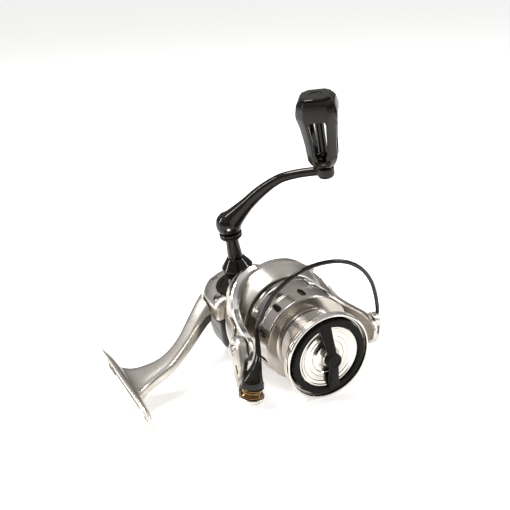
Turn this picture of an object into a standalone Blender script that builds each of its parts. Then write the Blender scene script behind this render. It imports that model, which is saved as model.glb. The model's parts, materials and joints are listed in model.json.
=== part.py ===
import math

import bmesh
import bpy
from mathutils import Matrix, Vector

# Open-face spinning reel. Lengths are in millimetres in the reel's own frame:
# +X forward along the main shaft, +Y away from the rod foot, +Z to the handle side.
# The whole reel hangs on one empty that lays it down in its resting pose.
MM = 0.001
GAP = 0.35
LEAN_DEG = 10.634
PITCH_DEG = 5.956

HANDLE_Y = -11.2
SHAFT_R = 1.45
PINION_BORE_R = 1.8
PINION_JOURNAL_R = 2.15
PINION_PITCH_R = 3.0
PINION_TIP_R = 3.55
PINION_ROOT_R = 2.3
PINION_TEETH = 8
DRIVE_TEETH = 32
MESH_X0 = 10.6
MESH_X1 = 13.0
GEAR_R = 17.5
GEAR_RIM_R = 14.2
SHAFT_REAR_X = -20.5
SHAFT_FRONT_X = 69.5

LIP_X = 68.5
SKIRT_R = 24.3
SKIRT_REAR_X = 28.0
SKIRT_FRONT_X = 48.5
ARBOR_R = 16.9
DRAG_WELL_R = 15.0
HOLES = 10
HOLE_ANGLE_DEG = 155.0

ROTOR_REAR_X = 10.5
ROTOR_RING_R = 28.2
ROTOR_WELL_R = 26.5
ARM_ANGLE_DEG = 164.1
ARM_TIP_X = 55.5
PIVOT_X = 47.5
ARM_OUT_R = 36.5

KNOB_X = 33.1
KNOB_Y = 30.6
KNOB_TURN_DEG = -36.0
CRANK_DIR = Vector((KNOB_X, KNOB_Y - HANDLE_Y, 0.0)).normalized()

FOOT_Y = -89.8
FOOT_X0 = -13.0
FOOT_X1 = 60.0

BODY_FRONT_X = 9.8
BOSS_R = 14.6

ROUND_SEG = 32
ROUNDNESS = 0.5

X = Vector((1.0, 0.0, 0.0))
Y = Vector((0.0, 1.0, 0.0))
Z = Vector((0.0, 0.0, 1.0))
O = Vector((0.0, 0.0, 0.0))
HANDLE = Vector((0.0, HANDLE_Y, 0.0))
KNOB = Vector((KNOB_X, KNOB_Y, 0.0))

for old in list(bpy.data.objects):
    bpy.data.objects.remove(old, do_unlink=True)

reel = bpy.data.objects.new("reel_frame", None)
bpy.context.collection.objects.link(reel)


def make_material(name, rgb, metallic, roughness):
    mat = bpy.data.materials.new(name)
    mat.use_nodes = True
    shader = mat.node_tree.nodes["Principled BSDF"]
    shader.inputs["Base Color"].default_value = (rgb[0], rgb[1], rgb[2], 1.0)
    shader.inputs["Metallic"].default_value = metallic
    shader.inputs["Roughness"].default_value = roughness
    return mat


FINISH = {
    "satin": ((0.72, 0.70, 0.67), 0.9, 0.32),
    "chrome": ((0.80, 0.78, 0.75), 1.0, 0.08),
    "gloss_black": ((0.012, 0.011, 0.010), 0.3, 0.12),
    "grip_black": ((0.03, 0.028, 0.026), 0.0, 0.35),
    "dark_grey": ((0.09, 0.085, 0.08), 0.2, 0.4),
    "steel": ((0.62, 0.61, 0.60), 1.0, 0.2),
    "brass": ((0.70, 0.52, 0.22), 1.0, 0.28),
    "amber": ((0.45, 0.28, 0.09), 0.8, 0.15),
    "felt": ((0.10, 0.10, 0.11), 0.0, 0.8),
}


def basis(d):
    d = d.normalized()
    ref = Z if abs(d.z) < 0.9 else X
    if abs(d.x) > 0.9:
        ref = Y
    u = (ref - d * ref.dot(d)).normalized()
    return u, d.cross(u), d


def shell(verts, faces):
    bm = bmesh.new()
    vs = [bm.verts.new(v) for v in verts]
    for f in faces:
        ring = []
        for i in f:
            if not ring or ring[-1] != i:
                ring.append(i)
        if ring[0] == ring[-1]:
            ring.pop()
        if len(ring) > 2:
            bm.faces.new([vs[i] for i in ring])
    bmesh.ops.remove_doubles(bm, verts=bm.verts, dist=1e-5)
    bmesh.ops.recalc_face_normals(bm, faces=bm.faces)
    return bm


def revolve(o, d, profile, seg=ROUND_SEG, phase=0.0):
    u, v, d = basis(d)
    seg = max(6, 2 * round(seg * ROUNDNESS / 2.0))
    verts = []
    n = len(profile)
    for j in range(seg):
        t = 2.0 * math.pi * (j + phase) / seg
        w = u * math.cos(t) + v * math.sin(t)
        for a, r in profile:
            verts.append(o + d * a + w * r)
    faces = []
    for j in range(seg):
        k = (j + 1) % seg
        for i in range(n):
            m = (i + 1) % n
            if profile[i][1] < 1e-6 and profile[m][1] < 1e-6:
                continue
            faces.append((j * n + i, j * n + m, k * n + m, k * n + i))
    return shell(verts, faces)


def ring(o, d, a0, a1, r0, r1, seg=ROUND_SEG, phase=0.0):
    if r0 <= 0.0:
        return revolve(o, d, [(a0, 0.0), (a0, r1), (a1, r1), (a1, 0.0)], seg, phase)
    return revolve(o, d, [(a0, r0), (a0, r1), (a1, r1), (a1, r0)], seg, phase)


def loft(loops, cap=True):
    n = len(loops[0])
    verts = [p for lp in loops for p in lp]
    faces = []
    for j in range(len(loops) - 1):
        for i in range(n):
            m = (i + 1) % n
            faces.append((j * n + i, j * n + m, (j + 1) * n + m, (j + 1) * n + i))
    if cap:
        faces.append(tuple(range(n)))
        faces.append(tuple((len(loops) - 1) * n + i for i in range(n)))
    return shell(verts, faces)


def prism(outline, base, rise):
    return loft([[base + p for p in outline], [base + p + rise for p in outline]])


def block(c, ax, ay, az, hx, hy, hz):
    low = [c - az * hz + ax * (sx * hx) + ay * (sy * hy) for sx, sy in ((-1, -1), (1, -1), (1, 1), (-1, 1))]
    return loft([low, [p + az * (2.0 * hz) for p in low]])


def tube(points, radii, seg=12):
    loops = []
    u = None
    for i, p in enumerate(points):
        a = points[max(i - 1, 0)]
        b = points[min(i + 1, len(points) - 1)]
        t = (b - a).normalized()
        if u is None:
            u = basis(t)[0]
        u = (u - t * u.dot(t)).normalized()
        v = t.cross(u)
        r = radii[i]
        loops.append([p + (u * math.cos(2 * math.pi * k / seg) + v * math.sin(2 * math.pi * k / seg)) * r
                      for k in range(seg)])
    return loft(loops)


def smooth_path(points, steps):
    out = []
    n = len(points)
    for i in range(n - 1):
        p0 = points[max(i - 1, 0)]
        p1 = points[i]
        p2 = points[i + 1]
        p3 = points[min(i + 2, n - 1)]
        for s in range(steps):
            t = s / steps
            out.append(0.5 * ((2 * p1) + (p2 - p0) * t + (2 * p0 - 5 * p1 + 4 * p2 - p3) * t * t
                              + (3 * p1 - p0 - 3 * p2 + p3) * t * t * t))
    out.append(points[-1])
    return out


def merge(parts):
    bm = bmesh.new()
    for part in parts:
        mesh = bpy.data.meshes.new("joined")
        part.to_mesh(mesh)
        bm.from_mesh(mesh)
        part.free()
        bpy.data.meshes.remove(mesh)
    return bm


def to_object(bm, name, origin):
    mesh = bpy.data.meshes.new(name)
    bmesh.ops.translate(bm, verts=bm.verts, vec=-origin)
    bmesh.ops.scale(bm, verts=bm.verts, vec=(MM, MM, MM))
    bmesh.ops.triangulate(bm, faces=[f for f in bm.faces if len(f.verts) == 4])
    bm.to_mesh(mesh)
    bm.free()
    obj = bpy.data.objects.new(name, mesh)
    bpy.context.collection.objects.link(obj)
    obj.location = origin * MM
    return obj


def carve(obj, tool, operation):
    mod = obj.modifiers.new(operation.lower(), "BOOLEAN")
    mod.operation = operation
    mod.solver = "EXACT"
    mod.object = tool
    bpy.context.view_layer.update()
    graph = bpy.context.evaluated_depsgraph_get()
    result = bpy.data.meshes.new_from_object(obj.evaluated_get(graph))
    obj.modifiers.clear()
    obj.data = result
    bpy.data.objects.remove(tool, do_unlink=True)


def node(name, finish, bm, origin=O, add=(), cut=(), smooth=30.0):
    obj = to_object(bm, name, origin)
    for i, piece in enumerate(add):
        carve(obj, to_object(piece, name + "_add%d" % i, origin), "UNION")
    for i, piece in enumerate(cut):
        carve(obj, to_object(piece, name + "_cut%d" % i, origin), "DIFFERENCE")
    bm = bmesh.new()
    bm.from_mesh(obj.data)
    bmesh.ops.remove_doubles(bm, verts=bm.verts, dist=2e-6)
    bmesh.ops.dissolve_degenerate(bm, edges=bm.edges, dist=2e-6)
    bm.to_mesh(obj.data)
    bm.free()
    obj.data.materials.clear()
    rgb, metallic, roughness = FINISH[finish]
    obj.data.materials.append(make_material(name + "_" + finish, rgb, metallic, roughness))
    for poly in obj.data.polygons:
        poly.material_index = 0
        poly.use_smooth = True
    obj.data.set_sharp_from_angle(angle=math.radians(smooth))
    obj.parent = reel
    return obj


def nodes(name, finish, pieces, origin=O):
    for i, piece in enumerate(pieces):
        node("%s_%d" % (name, i + 1), finish, piece, origin)


# Body: an outline round the handle axis, lofted to a dark lower half and a silver cover.
BODY_OUTLINE = ((9.8, 6.0), (9.8, 19.0), (2.0, 17.2), (-8.0, 13.5), (-17.0, 8.0), (-23.5, 0.0), (-25.5, -10.0),
                (-23.0, -19.5), (-17.5, -26.0), (-9.0, -30.6), (1.0, -31.2), (9.8, -30.0), (9.8, -17.0))
BODY_STEPS = 2
SPLIT_Z = 4.0


def body_loop(z, k, r_round=0.0, w_round=0.0, x_max=BODY_FRONT_X, y_min=-40.0):
    pts = [Vector((p[0], p[1], 0.0)) for p in BODY_OUTLINE]
    closed = smooth_path([pts[-1]] + pts + [pts[0], pts[1]], BODY_STEPS)[BODY_STEPS:-BODY_STEPS - 1]
    out = []
    for p in closed:
        q = Vector((min(p.x, BODY_FRONT_X), p.y, 0.0)) - HANDLE
        r = (1.0 - w_round) * q.length * k + w_round * r_round
        q = HANDLE + q.normalized() * r
        out.append(Vector((min(q.x, x_max), max(q.y, y_min), z)))
    return out


housing = loft([body_loop(-16.4, 0.78), body_loop(-15.2, 0.87), body_loop(-12.0, 0.93),
                body_loop(-6.0, 0.95), body_loop(0.5, 0.985, y_min=-30.2), body_loop(SPLIT_Z - GAP / 2, 1.0)])
housing_cavity = loft([body_loop(-13.4, 0.82), body_loop(-11.2, 0.86), body_loop(-6.0, 0.88),
                       body_loop(0.5, 0.925, y_min=-28.95), body_loop(SPLIT_Z + 2.0, 0.925)])
node("gear_housing", "dark_grey", housing, cut=[
    housing_cavity,
    block(Vector((9.0, -8.7, -2.3)), X, Y, Z, 4.0, 18.2, 8.6),
    ring(HANDLE, Z, -14.4, -12.0, 0.0, 5.6),
    ring(O, X, -28.0, -20.0, 0.0, 2.1, 24)])

COVER_TOP_Z = 14.6
PORT_R = 13.4
cover = loft([body_loop(SPLIT_Z + GAP / 2, 1.0), body_loop(7.5, 1.0),
              body_loop(10.5, 0.985, 15.6, 0.05), body_loop(12.6, 0.955, 15.6, 0.2),
              body_loop(13.9, 0.91, 15.5, 0.45), body_loop(COVER_TOP_Z, 0.87, 15.0, 0.8)])
cover_cavity = loft([body_loop(SPLIT_Z - 2.0, 0.925), body_loop(8.0, 0.90),
                     body_loop(10.8, 0.80, 12.5, 0.5, BODY_FRONT_X - 1.2)])

# Two screws close the body, sunk in the cover on its stem side.
SCREWS = ((-15.4, -20.5, 11.2), (3.4, -26.6, 11.0))
SCREW_R = 2.0
heads = []
recesses = []
for sx, sy, sz in SCREWS:
    c = Vector((sx, sy, sz))
    heads.append(revolve(c, Z, [(-0.2, 0.0), (-0.2, SCREW_R), (1.9, SCREW_R), (2.4, SCREW_R - 0.5), (2.4, 0.0)], 24))
    recesses.append(ring(c, Z, -0.55, 6.0, 0.0, SCREW_R + GAP, 24))
nodes("body_screw", "steel", heads)
node("side_cover", "satin", cover, add=[ring(HANDLE, Z, 10.6, COVER_TOP_Z - 0.2, 0.0, BOSS_R, 56)], cut=[
    cover_cavity,
    block(Vector((9.0, -8.8, 4.2)), X, Y, Z, 4.0, 18.3, 2.9),
    ring(HANDLE, Z, 9.0, 13.0, 0.0, 5.6),
    ring(HANDLE, Z, 12.4, 16.0, 0.0, PORT_R, 56)] + recesses)

node("port_cap", "gloss_black", revolve(HANDLE, Z, [(13.0, 5.6), (12.8, PORT_R - GAP), (15.6, PORT_R - GAP),
                                                     (15.9, PORT_R - 1.0), (15.5, 6.2), (15.5, 5.6)], 56), HANDLE)
nodes("handle_bearing", "steel", [ring(HANDLE, Z, 9.3, 12.3, 3.35, 5.3, 24),
                                  ring(HANDLE, Z, -14.1, -11.4, 3.35, 5.3, 24)], HANDLE)

# Rod foot with its stem, one casting bolted to the gear housing.
STEM = ((-10.5, -24.5, 6.2, 6.2, -0.62, 5.6), (-6.0, -30.8, 5.6, 5.9, -0.66, 4.8), (1.5, -40.2, 4.8, 4.8, -0.74, 3.1),
        (11.0, -50.6, 4.2, 4.1, -0.80, 1.7), (18.0, -59.6, 4.2, 3.9, -0.95, 0.8), (22.4, -68.0, 5.5, 3.8, -1.22, 0.2),
        (24.0, -76.5, 7.4, 3.7, -1.45, 0.0), (24.6, -83.0, 10.5, 3.7, -1.57, 0.0), (24.8, -86.5, 14.5, 4.6, -1.57, 0.0),
        (25.0, -88.4, 19.0, 6.0, -1.57, 0.0))


def stem_loop(x, y, a, h, ang, rise, n=16):
    side = Vector((-math.sin(ang), math.cos(ang), 0.0))
    out = []
    for i in range(n):
        t = 2.0 * math.pi * (i + 0.5) / n
        c, s = math.cos(t), math.sin(t)
        p = 2.0 / 3.2
        out.append(Vector((x, y, rise)) + side * (a * math.copysign(abs(c) ** p, c))
                   + Z * (h * math.copysign(abs(s) ** p, s)))
    return out


def foot_loop(x, w, t, dish):
    out = []
    for s in (-1.0, -0.5, 0.0, 0.5, 1.0):
        out.append(Vector((x, FOOT_Y - dish * s * s, s * w)))
    for s in (1.0, 0.6, 0.0, -0.6, -1.0):
        out.append(Vector((x, FOOT_Y + t * (1.0 - 0.55 * s * s) - (dish if abs(s) == 1.0 else 0.0), s * w * 0.97)))
    return out


foot_plate = loft([foot_loop(FOOT_X0, 2.2, 0.9, 0.1), foot_loop(-8.0, 4.6, 1.2, 0.4),
                   foot_loop(-1.0, 7.0, 1.8, 1.0), foot_loop(8.0, 8.2, 2.4, 1.3), foot_loop(24.0, 8.2, 2.9, 1.4),
                   foot_loop(40.0, 8.2, 2.8, 1.3), foot_loop(50.0, 7.9, 2.4, 1.0), foot_loop(56.5, 6.6, 1.9, 0.6),
                   foot_loop(FOOT_X1, 3.6, 1.3, 0.2)])
stem = loft([stem_loop(*s) for s in STEM])
body_clearance = loft([body_loop(-17.0, 1.02), body_loop(17.0, 1.02)])
node("rod_foot", "satin", foot_plate, add=[stem], cut=[
    body_clearance,
    block(Vector((24.0, FOOT_Y - 0.6, 0.0)), X, Y, Z, 21.0, 1.5, 1.1),
    block(Vector((4.0, FOOT_Y - 0.6, 0.0)), X, Y, Z, 5.5, 1.4, 3.0),
    block(Vector((52.5, FOOT_Y - 0.6, -1.6)), X, Y, Z, 2.8, 1.4, 0.6),
    block(Vector((52.5, FOOT_Y - 0.6, 1.6)), X, Y, Z, 2.8, 1.4, 0.6),
    block(Vector((24.0, FOOT_Y - 1.0, -9.2)), X, Y, Z, 4.0, 4.0, 2.0)])

# Front nose of the body, a cup that carries the one-way clutch and the front bearing.
nose = revolve(O, X, [(10.15, 18.0), (10.15, 20.0), (20.4, 20.0), (20.9, 19.4), (20.9, 9.4), (19.2, 9.4),
                      (19.2, 18.0)], 40)
node("front_nose", "dark_grey", nose, cut=[
    ring(HANDLE, Z, 1.8, 7.0, 0.0, GEAR_R + GAP, 48),
    ring(HANDLE, Z, 10.2, 22.0, 0.0, BOSS_R + GAP, 56)])
node("one_way_clutch", "steel", ring(O, X, 18.1, 20.7, 2.7, 9.0, 32))
node("clutch_cover", "satin", ring(O, X, 21.3, 22.3, 2.7, 12.0, 32))
node("pinion_bushing", "steel", ring(O, X, 3.2, 5.6, 2.7, 3.7, 24))

# Drive gear: a face gear whose straight teeth lie tangent to the offset circle.
GEAR_WEB_LOW = 5.2
GEAR_WEB_HIGH = 6.4
TOOTH_ROOT_Z = 3.95
TOOTH_TIP_Z = 2.6
AXLE_R = 3.0
AXLE_LOW_Z = -14.0
AXLE_HIGH_Z = 15.9
wheel = revolve(HANDLE, Z, [(AXLE_LOW_Z, 0.0), (AXLE_LOW_Z, AXLE_R), (-5.0, AXLE_R), (-5.0, 4.6), (GEAR_WEB_LOW, 4.6),
                            (GEAR_WEB_LOW, GEAR_RIM_R), (TOOTH_ROOT_Z, GEAR_RIM_R), (TOOTH_ROOT_Z, GEAR_R),
                            (GEAR_WEB_HIGH, GEAR_R), (GEAR_WEB_HIGH, 5.0), (7.8, 5.0), (7.8, AXLE_R),
                            (AXLE_HIGH_Z, AXLE_R), (AXLE_HIGH_Z, 0.0)], 48)
teeth = [wheel]
for k in range(DRIVE_TEETH):
    turn = Matrix.Rotation(2.0 * math.pi * k / DRIVE_TEETH, 3, "Z")
    low = []
    high = []
    for sx, sy in ((0, -1), (1, -1), (1, 1), (0, 1)):
        px = MESH_X1 if sx else MESH_X0
        low.append(HANDLE + turn @ Vector((px, -HANDLE_Y + sy * (0.54 if sx else 0.48), 0.0)) + Z * (TOOTH_ROOT_Z + 0.9))
        high.append(HANDLE + turn @ Vector((px, -HANDLE_Y + sy * (0.2 if sx else 0.16), 0.0)) + Z * TOOTH_TIP_Z)
    teeth.append(loft([low, high]))
node("drive_gear", "brass", teeth[0], HANDLE, add=[merge(teeth[1:])])

# Pinion with straight teeth; a gap, not a tooth, faces the wheel's tooth at rest.
pinion_loop = []
for k in range(PINION_TEETH):
    mid = -math.pi / 2.0 + 2.0 * math.pi * (k + 0.5) / PINION_TEETH
    for dt, r in ((-0.30, PINION_ROOT_R), (-0.17, PINION_PITCH_R), (-0.07, PINION_TIP_R),
                  (0.07, PINION_TIP_R), (0.17, PINION_PITCH_R), (0.30, PINION_ROOT_R)):
        pinion_loop.append(Vector((0.0, r * math.cos(mid + dt), r * math.sin(mid + dt))))
journal = ring(O, X, 2.6, 30.6, 0.0, PINION_JOURNAL_R, 24)
node("pinion", "brass", journal, add=[prism(pinion_loop, X * (MESH_X0 - 0.6), X * (MESH_X1 - MESH_X0 + 1.2))],
     cut=[ring(O, X, 0.0, 34.0, 0.0, PINION_BORE_R, 24)])

# Oscillation train: a small gear on the drive shaft turns a larger one with a crank pin.
TRANSFER_TEETH = 14
OSC_TEETH = 20
OSC_MODULE = 0.65
OSC_X = -9.0
GUIDE_Y = 4.6
GUIDE_Z = -2.2
GUIDE_R = 0.9


def spur(o, teeth_n, module, z0, z1, phase):
    pr = module * teeth_n / 2.0
    loop = []
    step = 2.0 * math.pi / teeth_n
    for k in range(teeth_n):
        mid = phase + k * step
        for f, r in ((-0.34, pr - 0.9 * module), (-0.12, pr + 0.75 * module), (0.12, pr + 0.75 * module),
                     (0.34, pr - 0.9 * module)):
            loop.append(o + Vector((r * math.cos(mid + f * step), r * math.sin(mid + f * step), z0)))
    return prism(loop, O, Z * (z1 - z0))


gear_spacing = OSC_MODULE * (TRANSFER_TEETH + OSC_TEETH) / 2.0 + 0.1
osc_dy = math.sqrt(gear_spacing * gear_spacing - OSC_X * OSC_X)
OSC_AXIS = Vector((OSC_X, HANDLE_Y + osc_dy, 0.0))
toward = math.atan2(osc_dy, OSC_X)
node("transfer_gear", "brass", spur(HANDLE, TRANSFER_TEETH, OSC_MODULE, -8.8, -6.2, toward), HANDLE,
     cut=[ring(HANDLE, Z, -12.0, 0.0, 0.0, AXLE_R + GAP, 24)])
osc_wheel = spur(OSC_AXIS, OSC_TEETH, OSC_MODULE, -8.6, -6.4, toward + math.pi + math.pi / OSC_TEETH)
node("oscillation_gear", "steel", osc_wheel, OSC_AXIS,
     add=[ring(OSC_AXIS + Vector((3.4, 2.6, 0.0)), Z, -7.0, -5.2, 0.0, 1.3, 16)],
     cut=[ring(OSC_AXIS, Z, -10.0, -5.0, 0.0, 1.55, 24)])
node("oscillation_post", "steel", ring(OSC_AXIS, Z, -9.4, -5.6, 0.0, 1.1, 24), OSC_AXIS)
node("guide_rod", "steel", ring(Vector((0.0, GUIDE_Y, GUIDE_Z)), X, -14.0, 2.8, 0.0, GUIDE_R, 16))

# Main shaft with its slider block; they move fore and aft with the spool.
node("main_shaft", "steel", revolve(O, X, [(SHAFT_REAR_X, 0.0), (SHAFT_REAR_X, SHAFT_R), (SHAFT_FRONT_X - 0.5, SHAFT_R),
                                           (SHAFT_FRONT_X, SHAFT_R - 0.4), (SHAFT_FRONT_X, 0.0)], 24))
node("slider_block", "brass", block(Vector((-9.0, 1.6, -1.3)), X, Y, Z, 3.0, 4.8, 3.2),
     cut=[ring(O, X, -14.0, -4.0, 0.0, SHAFT_R + GAP, 24),
          ring(Vector((0.0, GUIDE_Y, GUIDE_Z)), X, -14.0, -4.0, 0.0, GUIDE_R + GAP, 24)])

# Rotor: a cup round the nose, a ring shoulder and two swept arms.
ARM_E = Vector((0.0, math.cos(math.radians(ARM_ANGLE_DEG)), math.sin(math.radians(ARM_ANGLE_DEG))))
ARM_N = ARM_E.cross(X).normalized()
if ARM_N.z < 0.0:
    ARM_N = -ARM_N


def polar(x, r, ang):
    return Vector((x, r * math.cos(ang), r * math.sin(ang)))


# Each arm section: x, outer radius, wall, half angle, and how far the flared root bulges out.
ARM_SECTIONS = ((11.6, 27.9, 1.3, 62.0, 4.6), (14.0, 29.0, 2.4, 50.0, 3.8), (16.5, 30.4, 3.4, 38.0, 2.6),
                (19.5, 31.0, 3.8, 24.0, 1.2), (24.0, 31.8, 3.8, 16.5, 0.0), (31.0, 33.4, 3.7, 13.5, 0.0),
                (38.0, 35.2, 3.5, 12.5, 0.0), (45.0, ARM_OUT_R, 3.4, 12.0, 0.0), (51.5, ARM_OUT_R, 2.8, 10.0, 0.0),
                (ARM_TIP_X, ARM_OUT_R, 2.0, 4.0, 0.0))
BULGE_AT = math.radians(-38.0)
BULGE_SPREAD = math.radians(42.0)
ARM_STEPS = 12


def bulge(t):
    u = (t - BULGE_AT) / BULGE_SPREAD
    return math.cos(0.5 * math.pi * u) ** 2 if abs(u) < 1.0 else 0.0


def arm_wall(angle):
    loops = []
    for x, r, th, half, swell in ARM_SECTIONS:
        h = math.radians(half)
        arc = [-h + 2.0 * h * i / ARM_STEPS for i in range(ARM_STEPS + 1)]
        lp = [polar(x, r + swell * bulge(t), angle + t) for t in arc]
        lp += [polar(x + (0.9 if half > 20.0 else 0.0), r - th, angle + t) for t in reversed(arc)]
        loops.append(lp)
    return loft(loops)


rotor_cup = revolve(O, X, [(ROTOR_REAR_X, ROTOR_WELL_R), (ROTOR_REAR_X, 27.6), (11.4, ROTOR_RING_R),
                           (15.5, ROTOR_RING_R), (17.0, 27.4), (21.4, 26.0), (24.8, 24.4), (25.2, 24.0),
                           (25.4, 12.0), (26.4, 11.0), (26.4, PINION_JOURNAL_R + GAP),
                           (23.4, PINION_JOURNAL_R + GAP), (23.4, 21.6), (18.4, 21.8), (16.2, ROTOR_WELL_R)], 48)
arm_a = math.radians(ARM_ANGLE_DEG)
arm_b = arm_a + math.pi
node("rotor", "satin", rotor_cup, add=[arm_wall(arm_a), arm_wall(arm_b)], smooth=35.0)
node("rotor_nut", "steel", ring(O, X, 26.8, 30.2, PINION_JOURNAL_R + 0.7, 5.6, 12))


def plate_on(angle, x0, x1, r_of_x, half, thick, n=6):
    loops = []
    for x in (x0, 0.5 * (x0 + x1), x1):
        r = r_of_x(x) + GAP
        h = math.radians(half)
        lp = [polar(x, r, angle - h + 2.0 * h * i / n) for i in range(n + 1)]
        lp += [polar(x, r + thick, angle + h - 2.0 * h * i / n) for i in range(n + 1)]
        loops.append(lp)
    return loft(loops)


def arm_radius(x):
    for a, b in zip(ARM_SECTIONS, ARM_SECTIONS[1:]):
        if a[0] <= x <= b[0]:
            return a[1] + (b[1] - a[1]) * (x - a[0]) / (b[0] - a[0])
    return ARM_OUT_R


node("arm_cover_near", "satin", plate_on(arm_a, 22.0, 36.0, arm_radius, 9.0, 1.0))
node("arm_cover_far", "satin", plate_on(arm_b, 22.0, 36.0, arm_radius, 9.0, 1.0))

# Bail: lever with its roller cup, wire, far holder and the two pivot screws.
PIVOT = Vector((PIVOT_X, 0.0, 0.0))


def bail(rho, x, n):
    return PIVOT + ARM_E * rho + X * (x - PIVOT_X) + ARM_N * n


ROLLER_RHO = 37.0
ROLLER_X = 62.0
ROLLER_N = -14.6
ROLLER_R = 5.6
E_POINT = bail(ROLLER_RHO, ROLLER_X, ROLLER_N)


def taper_plate(c0, r0, c1, r1, rho0, rho1, k=9):
    d = Vector((c1[0] - c0[0], c1[1] - c0[1]))
    ang = math.atan2(d.y, d.x)
    loop = []
    for i in range(k):
        t = ang + math.pi / 2 + math.pi * i / (k - 1)
        loop.append((c0[0] + r0 * math.cos(t), c0[1] + r0 * math.sin(t)))
    for i in range(k):
        t = ang - math.pi / 2 + math.pi * i / (k - 1)
        loop.append((c1[0] + r1 * math.cos(t), c1[1] + r1 * math.sin(t)))
    inner = [bail(rho0, px, pn) for px, pn in loop]
    mid = [bail(rho1 - 1.2, px, pn) for px, pn in loop]
    cx = sum(p[0] for p in loop) / len(loop)
    cn = sum(p[1] for p in loop) / len(loop)
    outer = [bail(rho1, cx + (px - cx) * 0.84, cn + (pn - cn) * 0.86) for px, pn in loop]
    return loft([inner, mid, outer])


lever_in = ARM_OUT_R + GAP
LEVER_OUT = 41.3
SCREW_SEAT = 39.9
lever = taper_plate((PIVOT_X, 0.0), 6.4, (ROLLER_X - 1.0, ROLLER_N - 3.4), 4.2, lever_in, LEVER_OUT)
cup = revolve(E_POINT, ARM_N, [(-6.6, 0.0), (-6.3, 3.4), (-5.2, 5.4), (-3.6, 6.3), (-2.6, 6.3), (-2.6, 0.0)], 24)
node("bail_lever", "satin", lever, bail(0.0, PIVOT_X, 0.0), add=[cup], cut=[
    ring(E_POINT, ARM_N, -2.65, 24.0, 0.0, 6.6, 24),
    ring(bail(0.0, PIVOT_X, 0.0), ARM_E, SCREW_SEAT, LEVER_OUT + 2.0, 0.0, 2.7, 24),
    block(bail(LEVER_OUT, 53.2, -6.4), ARM_E, (X * 0.66 - ARM_N * 0.75).normalized(), (X * 0.75 + ARM_N * 0.66).normalized(),
          0.8, 2.2, 0.7)])

holder = taper_plate((PIVOT_X + 0.5, 4.6), 4.0, (PIVOT_X, -4.0), 4.8, -LEVER_OUT, -lever_in)
node("bail_holder", "satin", holder, bail(0.0, PIVOT_X, 0.0), cut=[
    ring(bail(0.0, PIVOT_X, 0.0), -ARM_E, SCREW_SEAT, LEVER_OUT + 2.0, 0.0, 2.7, 24),
    block(bail(-39.2, PIVOT_X + 5.6, 0.5), ARM_E, X, ARM_N, 1.0, 3.0, 2.4)])
screw_profile = [(SCREW_SEAT + GAP, 0.0), (SCREW_SEAT + GAP, 2.35), (41.2, 2.35), (41.5, 1.9), (41.5, 0.0)]
nodes("bail_pivot_screw", "steel", [revolve(bail(0.0, PIVOT_X, 0.0), side, screw_profile, 24) for side in (ARM_E, -ARM_E)],
      bail(0.0, PIVOT_X, 0.0))

WIRE_TILT = math.radians(15.0)
WIRE_R = 1.05
WIRE = ((31.0, 12.0), (30.2, 18.6), (29.0, 25.4), (26.3, 32.7), (21.5, 39.5), (14.8, 44.7), (6.7, 47.4), (-2.9, 47.8),
        (-12.0, 45.3), (-20.6, 39.8), (-27.8, 32.0), (-33.0, 23.4), (-36.8, 15.4), (-38.9, 10.0))
wire_points = [E_POINT + ARM_N * 3.1, E_POINT + ARM_N * 5.0, E_POINT + ARM_N * 8.0 - ARM_E * 1.0 - X * 0.8,
               E_POINT + ARM_N * 12.0 - ARM_E * 2.8 - X * 2.6, E_POINT + ARM_N * 16.5 - ARM_E * 4.8 - X * 6.0]
wire_radii = [5.5, 5.2, 3.9, 2.4, 1.4]
for rho, h in WIRE:
    wire_points.append(bail(rho, PIVOT_X + h * math.sin(WIRE_TILT), h * math.cos(WIRE_TILT)))
    wire_radii.append(WIRE_R)
path = smooth_path(wire_points, 2)
radii = []
for i in range(len(path)):
    a = min(i // 2, len(wire_radii) - 1)
    b = min(a + 1, len(wire_radii) - 1)
    radii.append(wire_radii[a] + (wire_radii[b] - wire_radii[a]) * (i % 2) / 2.0)
node("bail_wire", "gloss_black", tube(path, radii, 8), bail(0.0, PIVOT_X, 0.0), smooth=60.0)

node("line_roller", "amber", revolve(E_POINT, ARM_N, [(-2.2, 2.5), (-2.2, ROLLER_R), (-1.5, ROLLER_R), (-0.4, 4.6),
                                                      (0.6, 4.6), (1.7, ROLLER_R), (2.3, ROLLER_R), (2.3, 2.5)], 28),
     E_POINT)
node("roller_bearing", "steel", ring(E_POINT, ARM_N, -2.1, 2.2, 1.5, 2.2, 20), E_POINT)
node("roller_pin", "steel", ring(E_POINT, ARM_N, -2.25, 2.35, 0.0, 1.15, 16), E_POINT)

# Spool: skirt, arbor, drag well; the skirt is pierced by oblong holes.
spool_body = revolve(O, X, [(SKIRT_REAR_X, 22.3), (SKIRT_REAR_X, SKIRT_R), (39.6, SKIRT_R),
                            (40.2, 23.8), (47.6, 23.3), (SKIRT_FRONT_X, 22.6), (48.9, ARBOR_R + 0.5),
                            (49.5, ARBOR_R), (63.8, 17.0), (64.9, 21.9), (66.3, 21.9), (66.3, 20.4),
                            (65.7, 20.2), (65.7, DRAG_WELL_R), (53.0, DRAG_WELL_R), (53.0, 3.0), (50.0, 3.0),
                            (50.0, 15.4), (47.0, 22.3)], 60)
holes = []
for k in range(HOLES):
    t = math.radians(HOLE_ANGLE_DEG + 360.0 / HOLES * k)
    w = Vector((0.0, math.cos(t), math.sin(t)))
    holes.append(block(X * 43.0 + w * 24.0, X, w, X.cross(w), 3.2, 2.8, 1.5))
node("spool", "chrome", spool_body, cut=[merge(holes)], smooth=40.0)
node("lip_ring", "chrome", revolve(O, X, [(64.6, 22.25), (65.0, 22.7), (67.6, 22.7), (LIP_X, 22.2), (LIP_X, 21.5),
                                          (67.9, 21.2), (66.7, 21.2), (66.7, 22.25)], 56))
clip_t = math.radians(62.0)
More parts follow.
